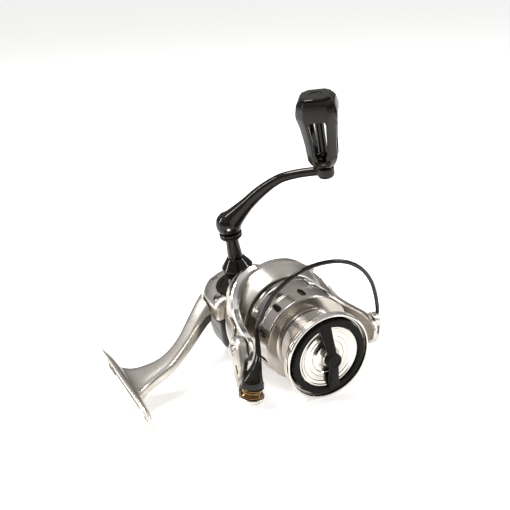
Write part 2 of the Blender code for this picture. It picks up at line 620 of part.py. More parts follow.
clip_w = Vector((0.0, math.cos(clip_t), math.sin(clip_t)))
node("line_clip", "satin", block(X * 35.0 + clip_w * (SKIRT_R + 0.75), X, clip_w, X.cross(clip_w), 3.0, 0.55, 1.3))
node("spool_bushing", "brass", ring(O, X, 49.0, 53.0, 1.9, 2.65, 20))
nodes("drag_washer", "felt", [ring(O, X, 53.4 + 2.6 * k, 54.7 + 2.6 * k, 2.2, 14.0, 32) for k in range(2)])
node("drag_plate", "steel", ring(O, X, 55.05, 55.65, 2.2, 14.2, 32))
node("drag_retainer", "steel", ring(O, X, 60.0, 60.7, 12.4, 14.6, 32))
node("spool_support", "brass", ring(O, X, 45.6, 48.4, SHAFT_R + 0.05 + GAP, 4.6, 24))
CLICK_X = 43.6
click_wheel = spur(O, 20, 0.7, 0.0, 1.2, 0.0)
bmesh.ops.transform(click_wheel, matrix=Matrix.Translation(X * CLICK_X) @ Matrix.Rotation(math.pi / 2.0, 4, "Y"),
                    verts=click_wheel.verts)
node("click_gear", "steel", click_wheel, cut=[ring(O, X, CLICK_X - 2.0, CLICK_X + 3.0, 0.0, SHAFT_R + GAP, 24)])
node("click_pawl", "steel", block(Vector((44.3, 10.8, 0.0)), X, Y, Z, 0.6, 2.2, 1.6))

# Drag knob: silver dish with a black ring grip and its bar.
node("drag_dish", "chrome", revolve(O, X, [(66.5, 2.2), (66.5, 15.9), (68.2, 15.9), (68.2, 15.0), (67.5, 13.6),
                                           (67.3, 8.4), (67.5, 5.8), (68.3, 4.6), (70.3, 4.0), (70.3, 2.2)], 48))
grip = revolve(O, X, [(66.8, 16.4), (66.8, 19.7), (68.7, 19.7), (69.3, 19.2), (69.3, 16.9), (68.8, 16.3),
                      (68.2, 16.2)], 48)
bar = loft([[Vector((x0, s * w, z)) for x0, s, w in ((b0, -1, wd), (b1, -1, wd * 0.8), (b1, 1, wd * 0.8), (b0, 1, wd))]
            for z, wd, b0, b1 in ((-18.2, 3.4, 68.4, 69.2), (-13.0, 2.7, 68.6, 70.8), (-6.0, 2.3, 70.6, 72.7),
                                  (0.0, 2.3, 71.6, 73.6), (6.0, 2.3, 70.6, 72.7), (13.0, 2.7, 68.6, 70.8),
                                  (18.2, 3.4, 68.4, 69.2))])
hub = revolve(O, X, [(71.6, 0.0), (71.6, 4.1), (73.2, 4.1), (73.7, 3.7), (73.7, 0.0)], 32)
node("drag_grip", "grip_black", grip, add=[bar, hub], smooth=35.0)
node("drag_nut", "brass", ring(O, X, 62.4, 63.8, SHAFT_R + 0.7, 4.6, 12))
coil = []
for i in range(21):
    t = 2.0 * math.pi * i / 10.0
    coil.append(Vector((58.4 + 3.2 * i / 20.0, 6.4 * math.cos(t), 6.4 * math.sin(t))))
node("drag_spring", "steel", tube(coil, [0.35] * len(coil), 5), smooth=60.0)

# Handle: shank with its double cone, flange, crank arm and pin.
node("port_seal", "satin", revolve(HANDLE, Z, [(16.25, 3.4), (16.25, 6.3), (17.2, 6.3), (17.7, 5.7), (17.7, 3.4)], 32), HANDLE)
node("collar", "gloss_black", revolve(HANDLE, Z, [(18.05, 0.0), (18.05, 4.9), (20.2, 6.2), (25.2, 8.2), (25.9, 8.1), (30.4, 4.9),
                                                  (31.0, 4.4), (31.0, 0.0)], 32), HANDLE)
node("shank", "gloss_black", revolve(HANDLE, Z, [(31.35, 0.0), (31.35, 4.0), (41.6, 3.25), (42.2, 3.6), (42.2, 0.0)], 24),
     HANDLE)
node("shank_flange", "gloss_black", revolve(HANDLE, Z, [(42.55, 0.0), (42.55, 5.2), (43.3, 5.8), (43.9, 5.8), (44.2, 5.2),
                                                        (44.6, 5.2), (44.9, 5.9), (45.5, 5.9), (46.0, 5.2), (46.0, 0.0)],
                                            28), HANDLE)
ball = revolve(HANDLE, Z, [(46.35, 0.0), (46.35, 5.0), (47.4, 6.1), (49.6, 6.7), (52.0, 6.6), (54.2, 5.7), (56.0, 4.0),
                           (56.9, 2.0), (57.1, 0.0)], 24)
CRANK = ((1.0, 51.4, 6.2), (5.0, 55.2, 4.9), (11.4, 60.9, 3.6), (16.5, 65.2, 3.25), (21.8, 69.1, 2.9), (26.8, 72.1, 2.6),
         (32.0, 74.4, 2.4), (40.2, 75.9, 2.3), (47.5, 76.4, 2.25), (51.5, 76.4, 2.2))
crank_path = smooth_path([HANDLE + CRANK_DIR * a + Z * z for a, z, r in CRANK], 2)
crank_r = []
for i in range(len(crank_path)):
    a = min(i // 2, len(CRANK) - 1)
    b = min(a + 1, len(CRANK) - 1)
    crank_r.append(CRANK[a][2] + (CRANK[b][2] - CRANK[a][2]) * (i % 2) / 2.0)
boss = revolve(KNOB, Z, [(72.5, 0.0), (72.7, 2.4), (73.6, 3.9), (74.8, 4.3), (78.1, 4.3), (78.8, 3.7), (78.8, 0.0)], 24)
PIN_DIR = Vector((0.9, -0.43, 0.0)).normalized()
node("crank_arm", "gloss_black", ball, HANDLE, add=[tube(crank_path, crank_r, 10), boss],
     cut=[ring(KNOB, Z, 71.0, 80.0, 0.0, 2.0, 24),
          ring(HANDLE + Z * 50.2, PIN_DIR, -9.0, 9.0, 0.0, 1.35, 12)], smooth=50.0)
node("crank_pin", "steel", revolve(HANDLE + Z * 50.2, PIN_DIR, [(-6.6, 0.0), (-6.4, 1.0), (6.5, 1.0), (6.9, 0.0)], 12), HANDLE)

# Knob: a faceted cage on a fixed post, turning on two bushes.
CAGE = ((80.0, 4.9), (81.8, 6.0), (84.4, 7.1), (92.4, 7.5), (101.0, 8.5), (106.4, 9.7), (108.6, 9.7), (112.4, 8.9),
        (114.2, 7.8))
FACE_HALF = 0.6
WALL = 2.4
knob_turn = Matrix.Rotation(math.radians(KNOB_TURN_DEG), 3, "Z")


def octagon(z, w, face=FACE_HALF):
    out = []
    for k in range(4):
        q = Matrix.Rotation(math.pi / 2.0 * k, 3, "Z")
        out.append(KNOB + knob_turn @ (q @ Vector((w, -w * face, 0.0))) + Z * z)
        out.append(KNOB + knob_turn @ (q @ Vector((w, w * face, 0.0))) + Z * z)
    return out


cage = loft([octagon(z, w) for z, w in CAGE])
hollow = loft([octagon(z, w) for z, w in ((83.6, 4.2), (87.0, 5.3), (92.4, 5.6), (101.0, 6.6), (105.6, 7.2))])
windows = []
for k in range(4):
    q = Matrix.Rotation(math.pi / 2.0 * k, 3, "Z")
    f = knob_turn @ (q @ X)
    s = Z.cross(f)
    loops = []
    for rad in (3.4, 12.0):
        loops.append([KNOB + f * rad + s * side + Z * z for side, z in
                      ((-1.8, 83.8), (1.8, 83.8), (2.9, 88.0), (4.1, 102.6), (3.3, 104.6), (-3.3, 104.6),
                       (-4.1, 102.6), (-2.9, 88.0))])
    windows.append(loft(loops))
node("knob_cage", "gloss_black", cage, KNOB, cut=[hollow] + windows + [
    ring(KNOB, Z, 77.0, 85.0, 0.0, 3.2, 24), ring(KNOB, Z, 104.0, 112.4, 0.0, 3.2, 24)], smooth=20.0)
node("knob_post", "gloss_black", revolve(KNOB, Z, [(73.2, 0.0), (73.2, 1.65), (79.15, 1.65), (79.15, 2.6), (79.7, 2.6),
                                                   (79.7, 1.65), (85.4, 1.65), (85.4, 3.0), (104.0, 3.0), (104.0, 1.65),
                                                   (111.0, 1.65), (111.0, 0.0)], 24), KNOB)
nodes("knob_bush", "steel", [ring(KNOB, Z, z, z + 2.8, 2.0, 2.85, 24) for z in (80.4, 107.4)], KNOB)
node("knob_cap", "gloss_black", loft([octagon(z, w) for z, w in ((114.55, 7.3), (115.1, 7.1), (115.4, 6.5))]), KNOB,
     smooth=20.0)

# Lay the reel down and put the middle of its footprint on the origin.
reel.rotation_euler = (math.radians(LEAN_DEG), math.radians(PITCH_DEG), 0.0)
bpy.context.view_layer.update()
low = Vector((1e9, 1e9, 1e9))
high = -low
for obj in bpy.data.objects:
    if obj.type != "MESH":
        continue
    for vert in obj.data.vertices:
        w = obj.matrix_world @ vert.co
        for i in range(3):
            low[i] = min(low[i], w[i])
            high[i] = max(high[i], w[i])
reel.location = (-(low.x + high.x) / 2.0, -(low.y + high.y) / 2.0, -low.z)
bpy.context.view_layer.update()
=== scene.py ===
"""Looks of the spinning reel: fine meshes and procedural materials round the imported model.

Lengths in the shape functions are millimetres in the reel's own frame: +X forward along the main shaft,
+Y away from the rod foot, +Z to the handle side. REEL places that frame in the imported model.
"""

import json
import math

import bmesh
import bpy
from mathutils import Matrix, Vector


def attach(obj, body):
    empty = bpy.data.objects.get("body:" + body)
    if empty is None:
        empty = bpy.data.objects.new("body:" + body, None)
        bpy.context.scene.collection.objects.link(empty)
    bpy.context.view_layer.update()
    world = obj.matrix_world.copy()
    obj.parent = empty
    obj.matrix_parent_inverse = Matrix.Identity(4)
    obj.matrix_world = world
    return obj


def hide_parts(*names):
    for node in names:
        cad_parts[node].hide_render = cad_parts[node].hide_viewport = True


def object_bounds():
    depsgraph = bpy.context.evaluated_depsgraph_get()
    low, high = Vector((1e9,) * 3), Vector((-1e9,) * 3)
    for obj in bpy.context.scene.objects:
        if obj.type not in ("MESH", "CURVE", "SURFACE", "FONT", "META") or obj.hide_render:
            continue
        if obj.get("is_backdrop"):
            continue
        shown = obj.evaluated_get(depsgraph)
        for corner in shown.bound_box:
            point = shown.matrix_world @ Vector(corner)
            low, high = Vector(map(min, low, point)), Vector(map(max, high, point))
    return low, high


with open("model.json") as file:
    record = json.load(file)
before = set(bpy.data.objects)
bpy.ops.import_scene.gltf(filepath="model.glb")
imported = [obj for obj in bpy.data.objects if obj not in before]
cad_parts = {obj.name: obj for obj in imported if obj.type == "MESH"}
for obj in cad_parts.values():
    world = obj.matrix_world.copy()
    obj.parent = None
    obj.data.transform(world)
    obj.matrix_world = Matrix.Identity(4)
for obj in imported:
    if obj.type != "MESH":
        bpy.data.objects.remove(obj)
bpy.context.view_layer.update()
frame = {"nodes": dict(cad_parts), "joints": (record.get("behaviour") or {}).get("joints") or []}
NODES = frame["nodes"]
JOINTS = {joint["name"]: joint for joint in frame["joints"]}

MM = 0.001
X = Vector((1.0, 0.0, 0.0))
Y = Vector((0.0, 1.0, 0.0))
Z = Vector((0.0, 0.0, 1.0))
O = Vector((0.0, 0.0, 0.0))

SPIN_X = 20.0
shaft_dir = Vector(JOINTS["rotor_spin"]["axis"]).normalized()
axle_dir = Vector(JOINTS["handle_turn"]["axis"]).normalized()
across_dir = axle_dir.cross(shaft_dir)
origin = Vector(JOINTS["rotor_spin"]["pos_m"]) - shaft_dir * (SPIN_X * MM)
REEL = Matrix.Translation(origin) @ Matrix((shaft_dir, across_dir, axle_dir)).transposed().to_4x4()
TO_REEL = REEL.inverted()


def local(point_m):
    """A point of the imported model, in the reel's own millimetres."""
    return (TO_REEL @ Vector(point_m)) / MM


GAP = 0.35                # clear gap between neighbouring pieces
HANDLE = Vector((0.0, local(JOINTS["handle_turn"]["pos_m"]).y, 0.0))
knob_at = local(JOINTS["knob_spin"]["pos_m"])
KNOB = Vector((knob_at.x, knob_at.y, 0.0))
PIVOT = local(JOINTS["bail_open"]["pos_m"])
ARM_E = (TO_REEL.to_3x3() @ Vector(JOINTS["bail_open"]["axis"])).normalized()
ARM_N = ARM_E.cross(X).normalized()
E_POINT = local(JOINTS["roller_spin"]["pos_m"])


# ---------------------------------------------------------------- mesh helpers

def smooth_rows(rows, steps):
    """Catmull-Rom through rows of numbers, one row for each station."""
    out = []
    n = len(rows)
    for i in range(n - 1):
        p0, p1, p2, p3 = rows[max(i - 1, 0)], rows[i], rows[i + 1], rows[min(i + 2, n - 1)]
        for s in range(steps):
            t = s / steps
            out.append(tuple(0.5 * (2 * b + (c - a) * t + (2 * a - 5 * b + 4 * c - d) * t * t
                                    + (3 * b - a - 3 * c + d) * t ** 3)
                             for a, b, c, d in zip(p0, p1, p2, p3)))
    out.append(tuple(rows[-1]))
    return out


def basis(d):
    """Two directions square to d, and d itself at unit length."""
    d = d.normalized()
    ref = Z if abs(d.z) < 0.9 else X
    if abs(d.x) > 0.9:
        ref = Y
    u = (ref - d * ref.dot(d)).normalized()
    return u, d.cross(u), d


def shell(verts, faces):
    """A closed mesh; corners that fall together are joined."""
    bm = bmesh.new()
    made = [bm.verts.new(v) for v in verts]
    for face in faces:
        loop = [i for k, i in enumerate(face) if i != face[k - 1]]
        if len(loop) > 2:
            bm.faces.new([made[i] for i in loop])
    bmesh.ops.remove_doubles(bm, verts=bm.verts, dist=1e-4)
    bmesh.ops.recalc_face_normals(bm, faces=bm.faces)
    return bm


def rounded(profile, radius, steps=4, closed=False):
    """The profile with its corners rounded; points on the axis stay sharp."""
    n = len(profile)
    out = []
    for i, point in enumerate(profile):
        corner = Vector(point)
        if corner.y < 1e-6 or (not closed and i in (0, n - 1)):
            out.append(tuple(corner))
            continue
        before = Vector(profile[i - 1]) - corner
        after = Vector(profile[(i + 1) % n]) - corner
        if before.length < 1e-6 or after.length < 1e-6 or before.angle(after) > math.radians(172.0):
            out.append(tuple(corner))
            continue
        a = corner + before.normalized() * min(radius, 0.45 * before.length)
        b = corner + after.normalized() * min(radius, 0.45 * after.length)
        for s in range(steps + 1):
            t = s / steps
            out.append(tuple(a * (1 - t) ** 2 + corner * (2 * t * (1 - t)) + b * t * t))
    return out


def revolve(o, d, profile, seg=96, radius=0.0, steps=4):
    """A turned piece: profile is (along, radius) points round the axis d through o."""
    on_axis = profile[0][1] < 1e-6 and profile[-1][1] < 1e-6
    if radius > 0.0:
        profile = rounded(profile, radius, steps, closed=not on_axis)
    u, v, d = basis(d)
    n = len(profile)
    verts = []
    for j in range(seg):
        t = 2.0 * math.pi * j / seg
        w = u * math.cos(t) + v * math.sin(t)
        verts += [o + d * a + w * r for a, r in profile]
    faces = []
    for j in range(seg):
        k = (j + 1) % seg
        for i in range(n):
            m = (i + 1) % n
            if profile[i][1] < 1e-6 and profile[m][1] < 1e-6:
                continue
            faces.append((j * n + i, j * n + m, k * n + m, k * n + i))
    return shell(verts, faces)


def ring(o, d, a0, a1, r0, r1, seg=96, radius=0.0):
    """A plain ring from a0 to a1 along d, or a disc where r0 is 0."""
    if r0 <= 0.0:
        return revolve(o, d, [(a0, 0.0), (a0, r1), (a1, r1), (a1, 0.0)], seg, radius)
    return revolve(o, d, [(a0, r0), (a0, r1), (a1, r1), (a1, r0)], seg, radius)


def loft(loops):
    """A skin through equal loops of points, closed by a face at each end."""
    n = len(loops[0])
    verts = [p for loop in loops for p in loop]
    faces = [(j * n + i, j * n + (i + 1) % n, (j + 1) * n + (i + 1) % n, (j + 1) * n + i)
             for j in range(len(loops) - 1) for i in range(n)]
    faces.append(tuple(range(n)))
    faces.append(tuple((len(loops) - 1) * n + i for i in range(n)))
    return shell(verts, faces)


def block(c, ax, ay, az, hx, hy, hz):
    """A box round c, from its three directions and half sizes."""
    low = [c - az * hz + ax * (sx * hx) + ay * (sy * hy)
           for sx, sy in ((-1, -1), (1, -1), (1, 1), (-1, 1))]
    return loft([low, [p + az * (2.0 * hz) for p in low]])


def slot_block(c, long_dir, wide_dir, deep_dir, half_len, half_wide, half_deep, steps=8):
    """A cutter with two round ends."""
    loop = []
    for side, start in ((1.0, -0.5), (-1.0, 0.5)):
        for s in range(steps + 1):
            t = math.pi * (start + s / steps)
            loop.append(c - deep_dir * half_deep
                        + long_dir * (side * (half_len - half_wide) + half_wide * math.cos(t))
                        + wide_dir * (half_wide * math.sin(t)))
    return loft([loop, [p + deep_dir * (2.0 * half_deep) for p in loop]])


def tube(points, radii, seg=24):
    """A round bar along the points, with its own radius at each."""
    loops = []
    u = None
    for i, p in enumerate(points):
        t = (points[min(i + 1, len(points) - 1)] - points[max(i - 1, 0)]).normalized()
        if u is None:
            u = basis(t)[0]
        u = (u - t * u.dot(t)).normalized()
        v = t.cross(u)
        turns = [2 * math.pi * k / seg for k in range(seg)]
        loops.append([p + (u * math.cos(a) + v * math.sin(a)) * radii[i] for a in turns])
    return loft(loops)


def merged(parts):
    """Several meshes as one, so that they cut in one step."""
    bm = bmesh.new()
    for part in parts:
        mesh = bpy.data.meshes.new("joined")
        part.to_mesh(mesh)
        bm.from_mesh(mesh)
        part.free()
        bpy.data.meshes.remove(mesh)
    return bm


def to_object(bm, name):
    """The mesh in the row frame's metres, on an object that sits at the origin."""
    mesh = bpy.data.meshes.new(name)
    bmesh.ops.transform(bm, matrix=REEL @ Matrix.Scale(MM, 4), verts=bm.verts)
    bm.to_mesh(mesh)
    bm.free()
    obj = bpy.data.objects.new(name, mesh)
    bpy.context.collection.objects.link(obj)
    return obj


def bake(obj):
    """Turns the object's modifiers into its mesh."""
    bpy.context.view_layer.update()
    graph = bpy.context.evaluated_depsgraph_get()
    result = bpy.data.meshes.new_from_object(obj.evaluated_get(graph))
    obj.modifiers.clear()
    obj.data = result


def carve(obj, bm, operation="DIFFERENCE"):
    tool = to_object(bm, obj.name + "_tool")
    mod = obj.modifiers.new("carve", "BOOLEAN")
    mod.operation = operation
    mod.solver = "EXACT"
    mod.object = tool
    bake(obj)
    bpy.data.objects.remove(tool, do_unlink=True)


def fuse(obj, voxel, passes):
    """Melts overlapping shells into one casting with soft fillets."""
    mod = obj.modifiers.new("voxels", "REMESH")
    mod.mode = "VOXEL"
    mod.voxel_size = voxel * MM
    mod = obj.modifiers.new("soften", "SMOOTH")
    mod.factor = 0.5
    mod.iterations = passes
    bake(obj)


def piece(name, bm, body, look, stands_for=(), cut=(), add=(), bevel=0.0, angle=35.0, melt=None):
    """One visible piece: its mesh, its finish, the body it rides on and the CAD nodes it stands for."""
    slot_name, material = look
    obj = to_object(bm, name)
    for extra in add:
        carve(obj, extra, "UNION")
    if melt:
        fuse(obj, *melt)
    for tool in cut:
        carve(obj, tool)
    if bevel > 0.0:
        mod = obj.modifiers.new("edges", "BEVEL")
        mod.width = bevel * MM
        mod.segments = 2
        mod.limit_method = "ANGLE"
        mod.angle_limit = math.radians(angle)
        mod.harden_normals = False
        bake(obj)
    obj.data.materials.clear()
    obj.data.materials.append(material)
    for poly in obj.data.polygons:
        poly.material_index = 0
        poly.use_smooth = True
    obj.data.set_sharp_from_angle(angle=math.radians(angle))
    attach(obj, body)
    if stands_for:
        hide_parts(*stands_for)
    return obj


# ------------------------------------------------------------------- materials

def new_material(name):
    material = bpy.data.materials.new(name)
    material.use_nodes = True
    nodes, links = material.node_tree.nodes, material.node_tree.links
    return material, nodes, links, nodes["Principled BSDF"]


def reel_place(nodes, links):
    """Each point's place in the reel's own frame, in metres."""
    coords = nodes.new("ShaderNodeTexCoord")
    turn = nodes.new("ShaderNodeMapping")
    turn.inputs["Location"].default_value = TO_REEL.translation
    turn.inputs["Rotation"].default_value = TO_REEL.to_euler()
    links.new(coords.outputs["Object"], turn.inputs["Vector"])
    return turn.outputs["Vector"]


def round_the_shaft(nodes, links):
    """The direction of lathe marks: round the main shaft."""
    coords = nodes.new("ShaderNodeTexCoord")
    offset = nodes.new("ShaderNodeVectorMath")
    offset.operation = "SUBTRACT"
    offset.inputs[1].default_value = origin
    links.new(coords.outputs["Object"], offset.inputs[0])
    across = nodes.new("ShaderNodeVectorMath")
    across.operation = "CROSS_PRODUCT"
    across.inputs[1].default_value = shaft_dir
    links.new(offset.outputs["Vector"], across.inputs[0])
    return across.outputs["Vector"]


def noise_from(nodes, links, where, scale, detail=4.0, rough=0.55):
    tex = nodes.new("ShaderNodeTexNoise")
    tex.inputs["Scale"].default_value = scale
    tex.inputs["Detail"].default_value = detail
    tex.inputs["Roughness"].default_value = rough
    links.new(where, tex.inputs["Vector"])
    return tex.outputs["Fac"]


def mapped(nodes, links, source, low, high):
    node = nodes.new("ShaderNodeMapRange")
    node.inputs["From Min"].default_value = 0.3
    node.inputs["From Max"].default_value = 0.7
    node.inputs["To Min"].default_value = low
    node.inputs["To Max"].default_value = high
    links.new(source, node.inputs["Value"])
    return node.outputs["Result"]


def two_tone(nodes, links, source, dark, light):
    ramp = nodes.new("ShaderNodeValToRGB")
    ramp.color_ramp.elements[0].position = 0.3
    ramp.color_ramp.elements[0].color = (*dark, 1.0)
    ramp.color_ramp.elements[1].position = 0.7
    ramp.color_ramp.elements[1].color = (*light, 1.0)
    links.new(source, ramp.inputs["Fac"])
    return ramp.outputs["Color"]


def finish_material(name, dark, light, metallic, rough, blotch=120.0, grain=3000.0, bump=0.03,
                    specular=0.5, brushed=0.0):
    """Colour drifts between two tones, and a fine grain varies the roughness and lifts the surface."""
    material, nodes, links, shader = new_material(name)
    where = reel_place(nodes, links)
    drift = noise_from(nodes, links, where, blotch)
    fine = noise_from(nodes, links, where, grain, 2.0)
    links.new(two_tone(nodes, links, drift, dark, light), shader.inputs["Base Color"])
    links.new(mapped(nodes, links, fine, rough[0], rough[1]), shader.inputs["Roughness"])
    shader.inputs["Metallic"].default_value = metallic
    shader.inputs["Specular IOR Level"].default_value = specular
    if brushed > 0.0:
        shader.inputs["Anisotropic"].default_value = brushed
        links.new(round_the_shaft(nodes, links), shader.inputs["Tangent"])
    relief = nodes.new("ShaderNodeBump")
    relief.inputs["Strength"].default_value = bump
    relief.inputs["Distance"].default_value = 0.00008
    links.new(fine, relief.inputs["Height"])
    links.new(relief.outputs["Normal"], shader.inputs["Normal"])
    return material


SATIN = ("satin_alloy", finish_material(
    "satin_champagne", (0.52, 0.485, 0.435), (0.62, 0.585, 0.535), 1.0, (0.24, 0.34), grain=4200.0,
    bump=0.05))
# A lighter copy of the satin alloy. On the rotor arms' bevel bands, its extra lightness is a painted
# highlight laid over a real chamfer. The line clip uses it too.
BRIGHT_TRIM_AND_HIGHLIGHT = ("satin_alloy", finish_material(
    "bright_bevel_painted_highlight", (0.88, 0.865, 0.84), (0.95, 0.94, 0.92), 1.0, (0.16, 0.24), grain=3000.0, bump=0.02))
CHROME = ("polished_alloy", finish_material(
    "bright_turned", (0.40, 0.365, 0.325), (0.50, 0.46, 0.415), 1.0, (0.14, 0.22), blotch=60.0, bump=0.01,
    brushed=0.7))
POLISHED = ("polished_alloy", finish_material(
    "polished_alloy", (0.60, 0.565, 0.515), (0.70, 0.665, 0.615), 1.0, (0.12, 0.18), blotch=60.0, bump=0.01,
    brushed=0.8))
GLOSS_BLACK = ("gloss_black", finish_material(
    "gloss_black_coat", (0.0045, 0.0032, 0.0022), (0.010, 0.0075, 0.0055), 0.0, (0.07, 0.13), grain=1500.0,
    bump=0.01, specular=0.28))
BLACK_PLASTIC = ("gloss_black_plastic", finish_material(
    "gloss_black_moulded", (0.005, 0.0037, 0.0026), (0.011, 0.0085, 0.0062), 0.0, (0.07, 0.14), grain=1200.0,
    bump=0.01, specular=0.28))
PORT_BLACK = ("gloss_black_plastic", finish_material(
    "port_black_moulded", (0.010, 0.0075, 0.0055), (0.020, 0.016, 0.012), 0.0, (0.38, 0.52), grain=1200.0,
    bump=0.05, specular=0.06))
GRIP_BLACK = ("grip_black", finish_material(
    "matte_black_grip", (0.006, 0.0055, 0.005), (0.013, 0.012, 0.010), 0.0, (0.42, 0.56), grain=5200.0,
    bump=0.25, specular=0.08))
DARK_GREY = ("dark_grey", finish_material(
    "dark_grey_coat", (0.022, 0.020, 0.018), (0.042, 0.039, 0.035), 0.4, (0.28, 0.4), grain=5000.0,
    bump=0.12))
STEEL = ("steel", finish_material(
    "machined_steel", (0.50, 0.49, 0.48), (0.64, 0.63, 0.61), 1.0, (0.16, 0.28), blotch=300.0, bump=0.05))
BRASS = ("brass", finish_material(
    "machined_brass", (0.62, 0.43, 0.16), (0.74, 0.56, 0.26), 1.0, (0.2, 0.34), blotch=260.0, bump=0.05))
BRONZE = ("bronze_coat", finish_material(
    "bronze_roller_coat", (0.085, 0.048, 0.018), (0.19, 0.115, 0.045), 1.0, (0.08, 0.16), blotch=500.0,
    bump=0.02))
FELT = ("felt", finish_material(
    "oiled_felt", (0.06, 0.06, 0.065), (0.14, 0.14, 0.145), 0.0, (0.75, 0.95), blotch=900.0, grain=6000.0,
    bump=0.6))


# ------------------------------------------------------------- rod foot and body

FOOT_Y = -89.8            # the sole that sits on the rod
# stem stations: x, y, half width, half height, turn of the section, rise along Z
STEM = ((-10.5, -24.5, 6.2, 6.2, -0.62, 5.6), (-6.0, -30.8, 5.6, 5.9, -0.66, 4.8),
        (1.5, -40.2, 4.8, 4.8, -0.74, 3.1), (11.0, -50.6, 4.2, 4.1, -0.80, 1.7),
        (18.0, -59.6, 4.2, 3.9, -0.95, 0.8), (22.4, -68.0, 5.5, 3.8, -1.22, 0.2),
        (24.0, -76.5, 7.4, 3.7, -1.45, 0.0), (24.6, -83.0, 10.5, 3.7, -1.57, 0.0),
        (24.8, -86.5, 14.5, 4.6, -1.57, 0.0), (25.0, -88.4, 19.0, 6.0, -1.57, 0.0))
# foot stations: x, half width, thickness, hollow of the sole's edge
FOOT = ((-13.0, 2.2, 0.9, 0.1), (-8.0, 4.6, 1.2, 0.4), (-1.0, 7.0, 1.8, 1.0), (8.0, 8.2, 2.4, 1.3),
        (24.0, 8.2, 2.9, 1.4), (40.0, 8.2, 2.8, 1.3), (50.0, 7.9, 2.4, 1.0), (56.5, 6.6, 1.9, 0.6),
        (60.0, 3.6, 1.3, 0.2))
FOOT_MID_X = 24.0
BODY_OUTLINE = ((9.8, 6.0), (9.8, 19.0), (2.0, 17.2), (-8.0, 13.5), (-17.0, 8.0), (-23.5, 0.0),
                (-25.5, -10.0), (-23.0, -19.5), (-17.5, -26.0), (-9.0, -30.6), (1.0, -31.2), (9.8, -30.0),
                (9.8, -17.0))
BODY_FRONT_X = 9.8
BODY_LOW_Y = -40.0        # below the outline, so it trims nothing
STEM_ROOM = 1.02          # the body's outline with room round it for the stem
INSIDE = 0.925            # the cavity's outline over the body's
SPLIT_Z = 4.0
COVER_TOP_Z = 14.6
BOSS_R = 14.6
BEARING_R = 5.6
DRIVE_GEAR_R = 17.5
PORT_R = 13.4
PORT_GROOVES = 24
SCREWS = ((-15.4, -20.5, 11.2), (3.4, -26.6, 11.0))
SCREW_R = 2.0
STEM_POWER = 1.0 / 1.6


def stem_loop(x, y, a, h, turn, rise, n=48):
    """A squared-off oval section of the stem."""
    side = Vector((-math.sin(turn), math.cos(turn), 0.0))
    out = []
    for i in range(n):
        t = 2.0 * math.pi * (i + 0.5) / n
        across = a * math.copysign(abs(math.cos(t)) ** STEM_POWER, math.cos(t))
        up = h * math.copysign(abs(math.sin(t)) ** STEM_POWER, math.sin(t))
        out.append(Vector((x, y, rise)) + side * across + Z * up)
    return out


def foot_loop(x, w, t, dish, n=10):
    """A section of the foot plate: a hollow sole under a crowned top."""
    low = [-1.0 + 2.0 * i / n for i in range(n + 1)]
    loop = [Vector((x, FOOT_Y - dish * s * s, s * w)) for s in low]
    loop += [Vector((x, FOOT_Y + t * (1.0 - 0.55 * s * s) - (dish if abs(s) == 1.0 else 0.0), 0.97 * s * w))
             for s in reversed(low)]
    return loop


def body_loop(z, k, r_round=0.0, w_round=0.0, x_max=BODY_FRONT_X, y_min=BODY_LOW_Y, steps=8):
    """The body's outline at z, scaled by k and drawn towards a circle of r_round by w_round."""
    rows = [BODY_OUTLINE[-1], *BODY_OUTLINE, BODY_OUTLINE[0], BODY_OUTLINE[1]]
    closed = smooth_rows(rows, steps)[steps:-steps - 1]
    out = []
    for x, y in closed:
        q = Vector((min(x, BODY_FRONT_X), y, 0.0)) - HANDLE
        r = (1.0 - w_round) * q.length * k + w_round * r_round
        q = HANDLE + q.normalized() * r
        out.append(Vector((min(q.x, x_max), max(q.y, y_min), z)))
    return out


def softened(bm, width, angle=35.0, segments=2):
    """Rounds every edge sharper than the angle."""
    sharp = math.radians(angle)
    edges = [e for e in bm.edges if len(e.link_faces) == 2 and e.calc_face_angle(0.0) > sharp]
    bmesh.ops.bevel(bm, geom=edges, offset=width, segments=segments, profile=0.6, affect="EDGES",
                    clamp_overlap=True)
    return bm


def make_foot():
    plate = loft([foot_loop(*row) for row in smooth_rows(FOOT, 5)])
    stem = loft([stem_loop(*row) for row in smooth_rows(STEM, 4)])
    clearance = loft([body_loop(-17.0, STEM_ROOM), body_loop(17.0, STEM_ROOM)])
    under = FOOT_Y - 0.6
    cuts = [clearance,
            slot_block(Vector((FOOT_MID_X, under, 0.0)), X, Z, Y, 21.0, 1.1, 1.5),
            softened(block(Vector((4.0, under, 0.0)), X, Y, Z, 5.5, 1.4, 3.0), 0.5),
            slot_block(Vector((FOOT_MID_X, FOOT_Y - 1.0, -9.2)), X, Z, Y, 4.0, 2.0, 4.0)]
    cuts += [slot_block(Vector((52.5, under, z)), X, Z, Y, 2.8, 0.6, 1.4) for z in (-1.6, 1.6)]
    piece("foot_casting", plate, "body", SATIN, ["rod_foot"], cut=cuts, add=[stem], melt=(0.3, 5))


